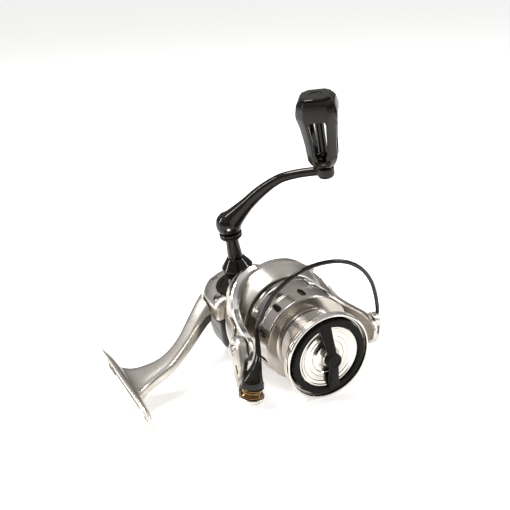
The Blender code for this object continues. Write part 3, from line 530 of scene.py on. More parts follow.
def make_body():
    floor_rows = smooth_rows([(-16.4, 0.78), (-15.2, 0.87), (-12.0, 0.93), (-6.0, 0.95), (0.5, 0.985),
                              (SPLIT_Z - GAP / 2, 1.0)], 4)
    half = loft([body_loop(z, k, y_min=-30.2 if z < 2.0 else BODY_LOW_Y) for z, k in floor_rows])
    cavity = loft([body_loop(-13.4, 0.82), body_loop(-11.2, 0.86), body_loop(-6.0, 0.88),
                   body_loop(0.5, INSIDE, y_min=-28.95), body_loop(SPLIT_Z + 2.0, INSIDE)])
    seam_low = Vector((-9.0, -29.5, -2.0))
    seam_high = Vector((11.0, -31.5, -8.0))
    seam = seam_high - seam_low
    along = seam.normalized()
    piece("housing_half", half, "body", DARK_GREY, ["gear_housing"], cut=[
        cavity,
        block(Vector((9.0, -8.7, -2.3)), X, Y, Z, 4.0, 18.2, 8.6),
        ring(HANDLE, Z, -14.4, -12.0, 0.0, BEARING_R, 48),
        ring(O, X, -28.0, -20.0, 0.0, 2.1, 32),
        block(seam_low + seam * 0.5, along, Y, along.cross(Y), seam.length / 2, 0.8, 0.22),
        ring(Vector((-8.0, -31.0, -12.4)), Y, -1.6, 2.4, 0.0, 0.8, 24)])

    top_rows = smooth_rows([(SPLIT_Z + GAP / 2, 1.0, 0.0, 0.0), (7.5, 1.0, 0.0, 0.0),
                            (10.5, 0.985, 15.6, 0.05), (12.6, 0.955, 15.6, 0.2), (13.9, 0.91, 15.5, 0.45),
                            (COVER_TOP_Z, 0.87, 15.0, 0.8)], 5)
    cover = loft([body_loop(*row) for row in top_rows])
    room = loft([body_loop(SPLIT_Z - 2.0, INSIDE), body_loop(8.0, 0.90),
                 body_loop(10.8, 0.80, 12.5, 0.5, BODY_FRONT_X - 1.2)])
    cuts = [room,
            block(Vector((9.0, -8.8, 4.2)), X, Y, Z, 4.0, 18.3, 2.9),
            ring(HANDLE, Z, 9.0, 13.0, 0.0, BEARING_R, 48),
            ring(HANDLE, Z, 12.4, 16.0, 0.0, PORT_R, 96)]
    cuts += [ring(Vector(at), Z, -0.55, 6.0, 0.0, SCREW_R + GAP, 40) for at in SCREWS]
    piece("cover_shell", cover, "body", SATIN, ["side_cover"], cut=cuts,
          add=[ring(HANDLE, Z, 10.6, COVER_TOP_Z - 0.2, 0.0, BOSS_R, 112, 0.5)])

    for i, at in enumerate(SCREWS):
        c = Vector(at)
        head = revolve(c, Z, [(-0.2, 0.0), (-0.2, SCREW_R), (1.9, SCREW_R), (2.4, SCREW_R - 0.5), (2.4, 0.0)],
                       40, 0.15)
        turn = Vector((math.cos(0.6 + i), math.sin(0.6 + i), 0.0))
        cross = [block(c + Z * 2.4, d, Z.cross(d), Z, 1.35, 0.28, 0.7) for d in (turn, Z.cross(turn))]
        piece("cover_screw_%d" % (i + 1), head, "body", STEEL, ["body_screw_%d" % (i + 1)], cut=cross)

    cap = revolve(HANDLE, Z, [(13.0, BEARING_R), (12.8, PORT_R - GAP), (15.6, PORT_R - GAP),
                              (15.9, PORT_R - 1.0), (15.75, 10.6), (15.25, 10.3), (15.25, 9.6), (15.7, 9.3),
                              (15.5, 6.2), (15.5, BEARING_R)], 112, 0.25)
    knurl = []
    for k in range(PORT_GROOVES):
        t = 2.0 * math.pi * k / PORT_GROOVES
        at = HANDLE + Vector((math.cos(t), math.sin(t), 0.0)) * (PORT_R - GAP + 0.1)
        knurl.append(ring(at, Z, 14.6, 17.0, 0.0, 0.5, 12))
    piece("port_cover", cap, "body", PORT_BLACK, ["port_cap"], cut=[merged(knurl)])


def make_nose():
    """The short cup in front of the body that the rotor's rear turns round."""
    nose = revolve(O, X, [(10.15, 18.0), (10.15, 20.0), (20.4, 20.0), (20.9, 19.4), (20.9, 9.4), (19.2, 9.4),
                          (19.2, 18.0)], 96, 0.2)
    piece("nose_cup", nose, "body", DARK_GREY, ["front_nose"], cut=[
        ring(HANDLE, Z, 1.8, 7.0, 0.0, DRIVE_GEAR_R + GAP, 96),
        ring(HANDLE, Z, 10.2, 22.0, 0.0, BOSS_R + GAP, 96)])


# ------------------------------------------------------------------------- rotor

ARM_ANGLE = math.atan2(ARM_E.z, ARM_E.y)
ROTOR_REAR_X = 10.5
ROTOR_RING_R = 28.2
ROTOR_WELL_R = 26.5
JOURNAL_R = 2.5
SLOT_IN_R = 26.9
SLOT_OUT_R = 38.0
ARM_OUT_R = 36.5
ARM_TIP_X = 55.5
ARM_TIP_HALF = 4.0
# arm sections: x, outer radius, wall, half angle in degrees, swell of the root
ARM_SECTIONS = ((11.6, 27.9, 1.3, 62.0, 4.6), (14.0, 29.0, 2.4, 50.0, 3.8), (16.5, 30.4, 3.4, 38.0, 2.6),
                (19.5, 31.0, 3.8, 24.0, 1.2), (24.0, 31.8, 3.8, 16.5, 0.0), (31.0, 33.4, 3.7, 13.5, 0.0),
                (38.0, 35.2, 3.5, 12.5, 0.0), (45.0, ARM_OUT_R, 3.4, 12.0, 0.0),
                (51.5, ARM_OUT_R, 2.8, 10.0, 0.0), (ARM_TIP_X, ARM_OUT_R, 2.0, ARM_TIP_HALF, 0.0))
ARM_FINE = smooth_rows(ARM_SECTIONS, 4)
PLATE_THICK = 1.0
BULGE_AT = math.radians(-38.0)
BULGE_SPREAD = math.radians(42.0)


def polar(x, r, angle):
    """A point at x along the shaft, at a radius and angle round it."""
    return Vector((x, r * math.cos(angle), r * math.sin(angle)))


def bulge(t):
    """How much of the root's swell shows at angle t from the arm's middle."""
    u = (t - BULGE_AT) / BULGE_SPREAD
    return math.cos(0.5 * math.pi * u) ** 2 if abs(u) < 1.0 else 0.0


def arm_wall(angle, steps=36):
    """One arm with its flared root, as a curved wall."""
    loops = []
    for x, r, thick, half, swell in ARM_FINE:
        h = math.radians(half)
        arc = [-h + 2.0 * h * i / steps for i in range(steps + 1)]
        loop = [polar(x, r + swell * bulge(t), angle + t) for t in arc]
        loop += [polar(x + (0.9 if half > 20.0 else 0.0), r - thick, angle + t) for t in reversed(arc)]
        loops.append(loop)
    return loft(loops)


def arm_section(x):
    """Outer radius, half angle in degrees and root swell of an arm at x."""
    for a, b in zip(ARM_FINE, ARM_FINE[1:]):
        if a[0] <= x <= b[0]:
            f = (x - a[0]) / (b[0] - a[0])
            return tuple(a[k] + (b[k] - a[k]) * f for k in (1, 3, 4))
    return ARM_OUT_R, ARM_TIP_HALF, 0.0


def plate_on(angle, x0, x1, half, thick, lift=GAP, steps=24, n=16):
    """A cover plate that follows an arm's outer face."""
    loops = []
    for i in range(steps + 1):
        x = x0 + (x1 - x0) * i / steps
        r = arm_section(x)[0] + lift
        end = min(1.0, 4.0 * min(i, steps - i) / steps)
        h = math.radians(half * (0.55 + 0.45 * math.sqrt(1.0 - (1.0 - end) ** 2)))
        loop = [polar(x, r, angle - h + 2.0 * h * k / n) for k in range(n + 1)]
        loop += [polar(x, r + thick, angle + h - 2.0 * h * k / n) for k in range(n + 1)]
        loops.append(loop)
    return loft(loops)


def edge_band(angle, side, x0, x1, width, lift=0.14, thick=0.5, steps=60):
    """A chamfer strip along one edge of an arm, root to tip, laid just over the arm to carry the lighter
    alloy that paints its highlight.
    """
    loops = []
    for i in range(steps + 1):
        x = x0 + (x1 - x0) * i / steps
        base, half, swell = arm_section(x)
        narrowing = 0.55 + 0.45 * math.sin(math.pi * min(1.0, 0.15 + i / steps))
        w = width * narrowing / (base + swell * bulge(0.0))
        t = side * math.radians(half)
        inner = t - side * w
        r = base + swell * bulge(t)
        r_inner = base + swell * bulge(inner)
        loops.append([polar(x, r_inner - thick, angle + inner), polar(x, r_inner + lift, angle + inner),
                      polar(x + 0.15, r + 0.05, angle + t),
                      polar(x + 0.95, r - 1.9, angle + t + side * 0.9 / r),
                      polar(x + 0.3, r - 2.2, angle + t)])
    return loft(loops)


def root_slot(angle, side, t0, t1, near, far, steps=16):
    """A cutter for the long opening that follows the edge of an arm's flared root."""
    loops = []
    for i in range(steps + 1):
        t = math.radians(t0 + (t1 - t0) * i / steps)
        x = next(row[0] for row in ARM_FINE if row[3] <= math.degrees(t))
        end = math.sin(math.pi * (0.12 + 0.76 * i / steps)) ** 0.5
        mid, half = x - 0.5 * (near + far), 0.5 * (far - near) * end
        at = angle + side * t
        loops.append([polar(mid - half, SLOT_IN_R, at), polar(mid + half, SLOT_IN_R, at),
                      polar(mid + half, SLOT_OUT_R, at), polar(mid - half, SLOT_OUT_R, at)])
    return loft(loops)


def make_rotor():
    cup = revolve(O, X, [(ROTOR_REAR_X, ROTOR_WELL_R), (ROTOR_REAR_X, 27.6), (11.4, ROTOR_RING_R),
                         (15.5, ROTOR_RING_R), (17.0, 27.4), (21.4, 26.0), (24.8, 24.4), (25.2, 24.0),
                         (25.4, 12.0), (26.4, 11.0), (26.4, JOURNAL_R), (23.4, JOURNAL_R),
                         (23.4, 21.6), (18.4, 21.8), (16.2, ROTOR_WELL_R)], 128, 0.3)
    piece("rotor_cup", cup, "rotor", SATIN, ["rotor"],
          add=[softened(arm_wall(ARM_ANGLE + turn), 0.5, 50.0) for turn in (0.0, math.pi)],
          cut=[root_slot(ARM_ANGLE + turn, -1.0, 24.0, 46.0, 1.6, 3.9) for turn in (0.0, math.pi)])
    for name, turn in (("near", 0.0), ("far", math.pi)):
        angle = ARM_ANGLE + turn
        plate = softened(plate_on(angle, 22.0, 36.0, 9.0, PLATE_THICK), 0.3, 50.0)
        ribs = []
        for k in range(7):
            x = 24.0 + 1.7 * k
            r = arm_section(x)[0] + GAP + PLATE_THICK
            d = polar(0.0, 1.0, angle)
            ribs.append(slot_block(X * x + d * r, X.cross(d), X, d, 3.6, 0.3, 0.35))
        piece("arm_cover_%s_shell" % name, plate, "rotor", SATIN, ["arm_cover_" + name], cut=[merged(ribs)])
    # The bright bands along both edges of each arm are painted highlight: lighter alloy on a chamfer strip.
    for name, turn in (("near", 0.0), ("far", math.pi)):
        angle = ARM_ANGLE + turn
        piece("arm_edge_%s_top" % name, edge_band(angle, -1.0, 11.9, 50.0, 1.9), "rotor", BRIGHT_TRIM_AND_HIGHLIGHT)
        piece("arm_edge_%s_low" % name, edge_band(angle, 1.0, 15.0, 50.0, 1.1), "rotor", BRIGHT_TRIM_AND_HIGHLIGHT)


# -------------------------------------------------------------------------- bail

PIVOT_X = PIVOT.x
LEVER_IN = ARM_OUT_R + GAP
LEVER_OUT = 41.3
SCREW_SEAT = 39.9
SCREW_SEAT_R = 2.7
ROLLER_X = E_POINT.x
ROLLER_N = (E_POINT - PIVOT).dot(ARM_N)
if ROLLER_N > 0.0:        # ARM_N points away from the line roller
    ARM_N = -ARM_N
    ROLLER_N = -ROLLER_N
WIRE_TILT = math.radians(15.0)
WIRE_R = 1.05
# the wire's drop-shaped root: distances from the roller along ARM_N, back along ARM_E and X, radius
WIRE_ROOT = ((3.1, 0.0, 0.0, 5.5), (5.0, 0.0, 0.0, 5.2), (8.0, 1.0, 0.8, 3.9), (12.0, 2.8, 2.6, 2.4),
             (16.5, 4.8, 6.0, 1.4))
# the wire's arch: along the pivot axis, height over it
WIRE = ((31.0, 12.0), (30.2, 18.6), (29.0, 25.4), (26.3, 32.7), (21.5, 39.5), (14.8, 44.7), (6.7, 47.4),
        (-2.9, 47.8), (-12.0, 45.3), (-20.6, 39.8), (-27.8, 32.0), (-33.0, 23.4), (-36.8, 15.4),
        (-38.9, 10.0))
ROLLER_R = 5.6
# a crowned plate: share of its thickness, scale of its outline there
CROWN = ((0.0, 1.0), (0.62, 1.0), (0.72, 0.985), (0.82, 0.955), (0.90, 0.91), (0.96, 0.86), (1.0, 0.80))


def bail(rho, x, n):
    """A point by its place along the pivot axis, its x and its height over the pivot."""
    return PIVOT + ARM_E * rho + X * (x - PIVOT_X) + ARM_N * n


def taper_outline(c0, r0, c1, r1, k=28):
    """Two round ends joined by straight sides."""
    d = Vector((c1[0] - c0[0], c1[1] - c0[1]))
    turn = math.atan2(d.y, d.x)
    out = []
    for (cx, cy), r, start in ((c0, r0, math.pi / 2), (c1, r1, -math.pi / 2)):
        for i in range(k):
            t = turn + start + math.pi * i / (k - 1)
            out.append((cx + r * math.cos(t), cy + r * math.sin(t)))
    return out


def dome_plate(c0, r0, c1, r1, rho0, rho1):
    """A plate with round ends whose outer face is crowned."""
    outline = taper_outline(c0, r0, c1, r1)
    cx = sum(p[0] for p in outline) / len(outline)
    cn = sum(p[1] for p in outline) / len(outline)
    rise = rho1 - rho0
    loops = []
    for f, shrink in CROWN:
        loops.append([bail(rho0 + rise * f, cx + (px - cx) * shrink, cn + (pn - cn) * shrink)
                      for px, pn in outline])
    return loft(loops)


def make_bail():
    pivot = bail(0.0, PIVOT_X, 0.0)
    end_x, end_n = ROLLER_X - 1.0, ROLLER_N - 3.4
    lever = dome_plate((PIVOT_X, 0.0), 6.4, (end_x, end_n), 4.2, LEVER_IN, LEVER_OUT)
    cup = revolve(E_POINT, ARM_N, [(-6.6, 0.0), (-6.3, 3.4), (-5.2, 5.4), (-3.6, 6.3), (-2.6, 6.3),
                                   (-2.6, 0.0)], 72, 0.5)
    along = (X * (end_x - PIVOT_X) + ARM_N * end_n).normalized()
    across = along.cross(ARM_E)
    mid = bail(LEVER_OUT, PIVOT_X, 0.0) + along * 9.6
    piece("lever_body", lever, "bail", SATIN, ["bail_lever"], add=[cup], cut=[
        ring(E_POINT, ARM_N, -2.65, 24.0, 0.0, 6.6, 72),
        ring(pivot, ARM_E, SCREW_SEAT, LEVER_OUT + 2.0, 0.0, SCREW_SEAT_R, 48),
        slot_block(mid, along, across, ARM_E, 2.6, 0.8, 0.8),
        slot_block(mid + along * 4.6, along, across, ARM_E, 1.0, 0.5, 0.7)])

    holder = dome_plate((PIVOT_X + 0.5, 4.6), 4.0, (PIVOT_X, -4.0), 4.8, -LEVER_IN, -LEVER_OUT)
    piece("holder_body", holder, "bail", SATIN, ["bail_holder"], cut=[
        ring(pivot, -ARM_E, SCREW_SEAT, LEVER_OUT + 2.0, 0.0, SCREW_SEAT_R, 48),
        softened(block(bail(-39.2, PIVOT_X + 5.6, 0.5), ARM_E, X, ARM_N, 1.0, 3.0, 2.4), 0.25)])

    for i, side in enumerate((ARM_E, -ARM_E)):
        screw = revolve(pivot, side, [(SCREW_SEAT + GAP, 0.0), (SCREW_SEAT + GAP, 2.35), (41.2, 2.35),
                                      (41.5, 1.9), (41.5, 0.0)], 48, 0.12)
        socket = ring(pivot, side, 40.7, 43.0, 0.0, 1.15, 6)
        piece("pivot_screw_%d" % (i + 1), screw, "bail", STEEL, ["bail_pivot_screw_%d" % (i + 1)],
              cut=[socket])

    rows = [(*(E_POINT + ARM_N * n - ARM_E * e - X * x), r) for n, e, x, r in WIRE_ROOT]
    rows += [(*bail(rho, PIVOT_X + h * math.sin(WIRE_TILT), h * math.cos(WIRE_TILT)), WIRE_R)
             for rho, h in WIRE]
    fine = smooth_rows(rows, 10)
    wire = softened(tube([Vector(r[:3]) for r in fine], [r[3] for r in fine], 32), 0.4, 50.0)
    piece("bail_arch", wire, "bail", GLOSS_BLACK, ["bail_wire"])

    roller = revolve(E_POINT, ARM_N, [(-2.2, 2.5), (-2.2, ROLLER_R), (-1.5, ROLLER_R), (-0.4, 4.6),
                                      (0.6, 4.6), (1.7, ROLLER_R), (2.3, ROLLER_R), (2.3, 2.5)], 96, 0.35, 6)
    piece("roller_sleeve", roller, "roller", BRONZE, ["line_roller"])
    pin = ring(E_POINT, ARM_N, -2.25, 2.35, 0.0, 1.15, 40, 0.15)
    socket = ring(E_POINT, ARM_N, 1.9, 4.0, 0.0, 0.5, 6)
    piece("roller_axle", pin, "bail", STEEL, ["roller_pin"], cut=[socket])


# ------------------------------------------------------------------ spool and drag

LIP_X = 68.5
SKIRT_R = 24.3
SKIRT_REAR_X = 28.0
SKIRT_FRONT_X = 48.5
ARBOR_R = 16.9
DRAG_WELL_R = 15.0
ARBOR_GROOVES = 14
GROOVE_PITCH = 0.82
HOLES = 10
HOLE_ANGLE = math.radians(155.0)
CLIP_ANGLE = math.radians(62.0)
GRIP_NOTCHES = 36
# the grip's bar: z, half width, rear x, front x
GRIP_BAR = ((-18.2, 3.4, 68.4, 69.2), (-13.0, 2.7, 68.6, 70.8), (-6.0, 2.3, 70.6, 72.7),
            (0.0, 2.3, 71.6, 73.6), (6.0, 2.3, 70.6, 72.7), (13.0, 2.7, 68.6, 70.8), (18.2, 3.4, 68.4, 69.2))


def make_spool():
    arbor = [(49.5, ARBOR_R), (50.1, ARBOR_R), (50.3, ARBOR_R - 0.9), (51.0, ARBOR_R - 0.9), (51.2, ARBOR_R)]
    for k in range(ARBOR_GROOVES):
        x = 51.8 + GROOVE_PITCH * k
        arbor += [(x, ARBOR_R + 0.05), (x + 0.22, ARBOR_R - 0.3), (x + 0.44, ARBOR_R - 0.3),
                  (x + 0.62, ARBOR_R + 0.05)]
    profile = [(SKIRT_REAR_X, 22.3), (SKIRT_REAR_X, SKIRT_R), (30.6, SKIRT_R), (30.8, SKIRT_R - 0.2),
               (31.0, SKIRT_R), (39.6, SKIRT_R), (40.2, 23.8), (47.6, 23.3), (SKIRT_FRONT_X, 22.6),
               (48.9, ARBOR_R + 0.5), *arbor, (63.8, 17.0), (64.9, 21.9), (66.3, 21.9), (66.3, 20.4),
               (65.7, 20.2), (65.7, DRAG_WELL_R), (53.0, DRAG_WELL_R), (53.0, 3.0), (50.0, 3.0), (50.0, 15.4),
               (47.0, 22.3)]
    body = revolve(O, X, profile, 160, 0.14, 3)
    holes = []
    for k in range(HOLES):
        w = polar(0.0, 1.0, HOLE_ANGLE + 2.0 * math.pi * k / HOLES)
        holes.append(slot_block(X * 43.0 + w * 24.0, X, X.cross(w), w, 3.2, 1.5, 2.8))
    piece("spool_body", body, "spool", CHROME, ["spool"], cut=[merged(holes)])
    lip = revolve(O, X, [(64.6, 22.25), (65.0, 22.62), (66.1, 22.62), (66.3, 22.45), (66.5, 22.62),
                         (67.6, 22.62), (LIP_X, 22.2), (LIP_X, 21.5), (67.9, 21.2), (66.7, 21.2),
                         (66.7, 22.25)], 160, 0.2)
    piece("lip_band", lip, "spool", POLISHED, ["lip_ring"])
    w = polar(0.0, 1.0, CLIP_ANGLE)
    clip = softened(block(X * 35.0 + w * (SKIRT_R + 0.75), X, w, X.cross(w), 3.0, 0.55, 1.3), 0.35)
    piece("line_clip_tongue", clip, "spool", BRIGHT_TRIM_AND_HIGHLIGHT, ["line_clip"])


def make_drag_knob():
    dish = revolve(O, X, [(66.5, 2.2), (66.5, 15.9), (68.2, 15.9), (68.2, 15.2), (67.8, 14.6), (67.6, 13.4),
                          (67.3, 13.1), (67.25, 11.0), (67.6, 10.7), (67.55, 8.7), (67.2, 8.4), (67.25, 6.4),
                          (67.7, 5.6), (68.4, 4.8), (69.2, 4.5), (70.3, 4.0), (70.3, 2.2)], 160, 0.16)
    piece("dish_plate", dish, "drag_knob", POLISHED, ["drag_dish"])
    grip = revolve(O, X, [(66.8, 16.4), (66.8, 19.7), (68.7, 19.7), (69.3, 19.2), (69.3, 16.9), (68.8, 16.3),
                          (68.2, 16.2)], 160, 0.3)
    bar = loft([[Vector((x, y, z)) for x, y in ((b0, -w), (b1 - 0.5, -w), (b1, -0.75 * w), (b1, 0.75 * w),
                                                (b1 - 0.5, w), (b0, w))]
                for z, w, b0, b1 in smooth_rows(GRIP_BAR, 5)])
    hub = revolve(O, X, [(71.6, 0.0), (71.6, 4.1), (73.2, 4.1), (73.7, 3.7), (73.7, 2.9), (73.45, 2.7),
                         (73.45, 0.0)], 96, 0.2)
    notches = []
    for k in range(GRIP_NOTCHES):
        w = polar(0.0, 1.0, 2.0 * math.pi * k / GRIP_NOTCHES)
        notches.append(slot_block(X * 67.9 + w * 19.9, X, X.cross(w), w, 1.1, 0.42, 0.5, 5))
    piece("grip_ring", grip, "drag_knob", GRIP_BLACK, ["drag_grip"], add=[softened(bar, 0.25, 30.0), hub],
          cut=[merged(notches)])


# ------------------------------------------------------------------ handle and knob

# the crank: distance out from the handle's axis, z, radius
CRANK = ((1.0, 51.4, 6.2), (5.0, 55.2, 4.9), (11.4, 60.9, 3.6), (16.5, 65.2, 3.25), (21.8, 69.1, 2.9),
         (26.8, 72.1, 2.6), (32.0, 74.4, 2.4), (40.2, 75.9, 2.3), (47.5, 76.4, 2.25), (51.5, 76.4, 2.2))
CRANK_DIR = (KNOB - HANDLE).normalized()
PIN_DIR = Vector((0.9, -0.43, 0.0)).normalized()
PIN_Z = 50.2
FLUTES = 12
KNOB_TURN = math.radians(-36.0)
# the knob's cage, its hollow and its end cap: z, half width of the faces
CAGE = ((80.0, 4.9), (81.8, 6.0), (84.4, 7.1), (92.4, 7.5), (101.0, 8.5), (106.4, 9.7), (108.6, 9.7),
        (112.4, 8.9), (114.2, 7.8))
CAGE_HOLLOW = ((83.6, 4.2), (87.0, 5.3), (92.4, 5.6), (101.0, 6.6), (105.6, 7.2))
END_CAP = ((114.55, 7.3), (115.1, 7.1), (115.4, 6.5))
# one window: across, z
WINDOW = ((-1.8, 83.8), (1.8, 83.8), (2.9, 88.0), (4.1, 102.6), (3.3, 104.6), (-3.3, 104.6), (-4.1, 102.6),
          (-2.9, 88.0))
FACE_HALF = 0.6           # a face's width over the knob's, the rest is corner
BUSH_R = 3.2


def make_handle():
    seal = revolve(HANDLE, Z, [(16.25, 3.4), (16.25, 6.3), (16.8, 6.3), (17.0, 5.9), (17.2, 5.9), (17.7, 5.5),
                               (17.7, 3.4)], 96, 0.15)
    piece("port_ring", seal, "body", POLISHED, ["port_seal"])
    collar = revolve(HANDLE, Z, [(18.05, 0.0), (18.05, 4.9), (20.2, 6.2), (25.2, 8.2), (25.9, 8.1),
                                 (30.4, 4.9), (31.0, 4.4), (31.0, 0.0)], 96, 0.25)
    flutes = []
    for k in range(FLUTES):
        turn = 2.0 * math.pi * k / FLUTES
        d = Vector((math.cos(turn), math.sin(turn), 0.0))
        flutes.append(slot_block(HANDLE + Z * 22.6 + d * 7.7, (Z * 5.0 + d * 2.0).normalized(), Z.cross(d),
                                 (d * 5.0 - Z * 2.0).normalized(), 1.9, 0.55, 0.45))
    piece("collar_cone", collar, "handle", GLOSS_BLACK, ["collar"], cut=[merged(flutes)])
    shank = revolve(HANDLE, Z, [(31.35, 0.0), (31.35, 4.0), (41.6, 3.25), (42.2, 3.6), (42.2, 0.0)], 96, 0.25)
    flats = [block(HANDLE + Z * 36.5 + d * 4.75, d, Z.cross(d), Z, 1.2, 4.0, 2.6)
             for d in (PIN_DIR, -PIN_DIR)]
    piece("shank_cone", shank, "handle", GLOSS_BLACK, ["shank"], cut=flats)
    flange = revolve(HANDLE, Z, [(42.55, 0.0), (42.55, 5.2), (43.3, 5.8), (43.9, 5.8), (44.2, 5.2),
                                 (44.6, 5.2), (44.9, 5.9), (45.5, 5.9), (46.0, 5.2), (46.0, 0.0)], 96, 0.18)
    piece("flange_ring", flange, "handle", GLOSS_BLACK, ["shank_flange"])

    ball = revolve(HANDLE, Z, [(46.35, 0.0), (46.35, 5.0), (47.4, 6.1), (49.6, 6.7), (52.0, 6.6), (54.2, 5.7),
                               (56.0, 4.0), (56.9, 2.0), (57.1, 0.0)], 96, 0.6)
    fine = smooth_rows([(*(HANDLE + CRANK_DIR * a + Z * z), r) for a, z, r in CRANK], 8)
    bar = tube([Vector(row[:3]) for row in fine], [row[3] for row in fine], 40)
    boss = revolve(KNOB, Z, [(72.5, 0.0), (72.7, 2.4), (73.6, 3.9), (74.8, 4.3), (78.1, 4.3), (78.8, 3.7),
                             (78.8, 0.0)], 72, 0.3)
    pin_at = HANDLE + Z * PIN_Z
    piece("crank_body", ball, "handle", GLOSS_BLACK, ["crank_arm"], add=[bar, boss], melt=(0.25, 8),
          cut=[ring(KNOB, Z, 71.0, 80.0, 0.0, 2.0, 40), ring(pin_at, PIN_DIR, -9.0, 9.0, 0.0, 1.35, 40)])
    pin = revolve(pin_at, PIN_DIR, [(-6.6, 0.0), (-6.4, 1.0), (6.5, 1.0), (6.9, 0.0)], 40, 0.15)
    piece("crank_pin_head", pin, "handle", STEEL, ["crank_pin"])


def face_turn(k):
    return Matrix.Rotation(KNOB_TURN + math.pi / 2.0 * k, 3, "Z")


def octagon(z, w):
    """A section of the knob: four faces with cut corners."""
    return [KNOB + face_turn(k) @ Vector((w, w * side * FACE_HALF, 0.0)) + Z * z
            for k in range(4) for side in (-1.0, 1.0)]


def make_knob():
    windows = []
    for k in range(4):
        out = face_turn(k) @ X
        side = Z.cross(out)
        windows.append(loft([[KNOB + out * r + side * (s * grow) + Z * z for s, z in WINDOW]
                             for r, grow in ((3.4, 1.0), (8.0, 1.0), (12.0, 1.35))]))
    cuts = [loft([octagon(*row) for row in CAGE_HOLLOW]), *windows,
            ring(KNOB, Z, 77.0, 85.0, 0.0, BUSH_R, 48), ring(KNOB, Z, 104.0, 112.4, 0.0, BUSH_R, 48)]
    piece("cage_shell", loft([octagon(*row) for row in CAGE]), "knob", BLACK_PLASTIC, ["knob_cage"], cut=cuts,
          bevel=0.28, angle=14.0)
    post = revolve(KNOB, Z, [(73.2, 0.0), (73.2, 1.65), (79.15, 1.65), (79.15, 2.6), (79.7, 2.6),
                             (79.7, 1.65), (85.4, 1.65), (85.4, 2.9), (86.4, 2.9), (87.0, 2.2),
                             (101.6, 2.2), (102.6, 2.9), (104.0, 2.9), (104.0, 1.65), (111.0, 1.65),
                             (111.0, 0.0)], 72, 0.15)
    piece("post_sleeve", post, "handle", GLOSS_BLACK, ["knob_post"])
    cap = loft([octagon(*row) for row in END_CAP])
    dimple = ring(KNOB, Z, 115.1, 118.0, 0.0, 3.4, 6)
    piece("knob_end_cap", cap, "knob", BLACK_PLASTIC, ["knob_cap"], cut=[dimple], bevel=0.15, angle=20.0)


# ----------------------------------------------------------- inner CAD nodes' looks

INNER = {
    STEEL: ("handle_bearing_1", "handle_bearing_2", "one_way_clutch", "pinion_bushing", "oscillation_gear",
            "oscillation_post", "guide_rod", "main_shaft", "rotor_nut", "roller_bearing", "drag_plate",
            "drag_retainer", "click_gear", "click_pawl", "drag_spring", "knob_bush_1", "knob_bush_2"),
    BRASS: ("drive_gear", "pinion", "transfer_gear", "slider_block", "spool_bushing", "spool_support",
            "drag_nut"),
    SATIN: ("clutch_cover",),
    FELT: ("drag_washer_1", "drag_washer_2"),
}


def finish_inner():
    """The CAD nodes that stay visible get a finish and keep their shape."""
    for (slot_name, material), names in INNER.items():
        for name in names:
            node = NODES[name]
            node.data.materials.clear()
            node.data.materials.append(material)
            for poly in node.data.polygons:
                poly.material_index = 0


# ------------------------------------------------------------- floor, light, camera

FLOOR_SIZE = 60.0
SKY = ((0.0, 0.22), (0.10, 0.12), (0.35, 0.30), (0.75, 0.62))    # height, grey
SENSOR_MM = 36.0
LENS_PER_WIDTH = 900.0 / 510.0      # focal length over image width, solved from the photo
CAMERA_AT = Vector((383.5, -155.0, 257.9))
CAMERA_RIGHT = Vector((0.452, 0.877, -0.163))
CAMERA_AHEAD = Vector((-0.810, 0.327, -0.487))


def make_floor():
    bpy.ops.mesh.primitive_plane_add(size=FLOOR_SIZE, location=(0.0, 0.0, 0.0))
    floor = bpy.context.object
    floor.name = "studio_floor"
    material, _, _, shader = new_material("pale_floor")
    shader.inputs["Base Color"].default_value = (0.92, 0.915, 0.905, 1.0)
    shader.inputs["Roughness"].default_value = 0.85
    shader.inputs["Specular IOR Level"].default_value = 0.1
    shader.inputs["Emission Color"].default_value = (1.0, 0.995, 0.985, 1.0)
    shader.inputs["Emission Strength"].default_value = 0.42
    floor.data.materials.append(material)
    floor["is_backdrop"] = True


def make_world():
    world = bpy.data.worlds.new("studio_sky")
    bpy.context.scene.world = world
    world.use_nodes = True
    nodes, links = world.node_tree.nodes, world.node_tree.links
    coords = nodes.new("ShaderNodeTexCoord")
    split = nodes.new("ShaderNodeSeparateXYZ")
    ramp = nodes.new("ShaderNodeValToRGB")
    elements = ramp.color_ramp.elements
    for element, (position, grey) in zip(elements, (SKY[0], SKY[-1])):
        element.position = position
        element.color = (grey, grey, grey, 1.0)
    for position, grey in SKY[1:-1]:
        elements.new(position).color = (grey, grey, grey, 1.0)
    links.new(coords.outputs["Generated"], split.inputs["Vector"])
    links.new(split.outputs["Z"], ramp.inputs["Fac"])
    links.new(ramp.outputs["Color"], nodes["Background"].inputs["Color"])
    nodes["Background"].inputs["Strength"].default_value = 1.0


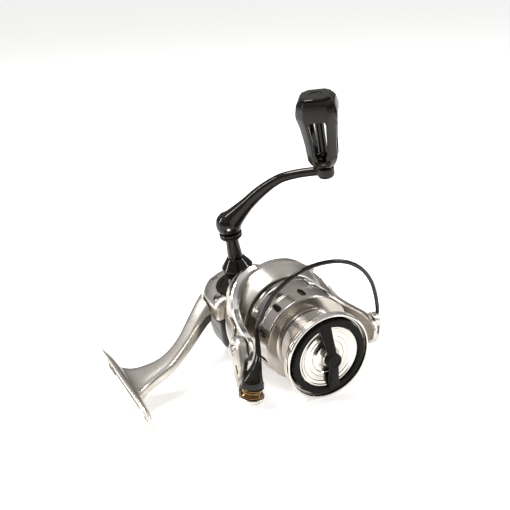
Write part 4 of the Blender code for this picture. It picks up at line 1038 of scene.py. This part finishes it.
def area_light(name, at, aim, size, power, tint=(1.0, 1.0, 1.0)):
    data = bpy.data.lights.new(name, "AREA")
    data.shape = "RECTANGLE"
    data.size, data.size_y = size
    data.energy = power
    data.color = tint
    light = bpy.data.objects.new(name, data)
    bpy.context.collection.objects.link(light)
    light.location = at
    light.rotation_mode = "QUATERNION"
    light.rotation_quaternion = (Vector(aim) - Vector(at)).to_track_quat("-Z", "Y")
    light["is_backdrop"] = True


def dark_card(name, at, aim, size):
    """A dark panel out of view that gives the bright metal something to reflect."""
    bm = bmesh.new()
    bmesh.ops.create_grid(bm, x_segments=1, y_segments=1, size=0.5)
    mesh = bpy.data.meshes.new(name)
    bm.to_mesh(mesh)
    bm.free()
    card = bpy.data.objects.new(name, mesh)
    bpy.context.collection.objects.link(card)
    card.scale = (size[0], size[1], 1.0)
    card.location = at
    card.rotation_mode = "QUATERNION"
    card.rotation_quaternion = (Vector(aim) - Vector(at)).to_track_quat("-Z", "Y")
    material, _, _, shader = new_material(name + "_paint")
    shader.inputs["Base Color"].default_value = (0.01, 0.01, 0.01, 1.0)
    shader.inputs["Roughness"].default_value = 0.9
    card.data.materials.append(material)
    card.visible_camera = False
    card.visible_diffuse = False
    card.visible_shadow = False
    card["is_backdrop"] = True


def make_camera():
    data = bpy.data.cameras.new("photo_camera")
    data.sensor_width = SENSOR_MM
    data.lens = SENSOR_MM * LENS_PER_WIDTH
    data.clip_start = 0.01
    data.clip_end = 200.0
    camera = bpy.data.objects.new("photo_camera", data)
    bpy.context.collection.objects.link(camera)
    right = CAMERA_RIGHT.normalized()
    back = -(CAMERA_AHEAD - right * CAMERA_AHEAD.dot(right)).normalized()
    pose = Matrix((right, back.cross(right), back)).transposed().to_4x4()
    camera.matrix_world = REEL @ Matrix.Translation(CAMERA_AT * MM) @ pose
    bpy.context.scene.camera = camera
    return camera


def make_studio(camera):
    """A soft light over the reel, a strip at each side, and two dark cards for the metal to mirror."""
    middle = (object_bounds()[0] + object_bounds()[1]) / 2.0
    to_eye = (camera.matrix_world.translation - middle).normalized()
    right = camera.matrix_world.to_3x3() @ X
    area_light("key_top", middle + Z * 0.9 - right * 0.35, middle, (0.45, 0.3), 9.0)
    area_light("fill_left", middle - right * 0.9 + Z * 0.35, middle, (0.08, 0.7), 5.0)
    area_light("fill_right", middle + right * 0.9 + Z * 0.45, middle, (0.08, 0.7), 5.0)
    dark_card("card_front", middle + to_eye * 0.9 + Z * 0.1, middle, (0.35, 0.5))
    dark_card("card_side", middle + right * 0.7, middle, (0.25, 0.5))


make_foot()
make_body()
make_nose()
make_rotor()
make_bail()
make_spool()
make_drag_knob()
make_handle()
make_knob()
finish_inner()
make_floor()
make_world()
make_studio(make_camera())
bpy.context.scene.view_settings.view_transform = "Standard"

bpy.context.view_layer.update()
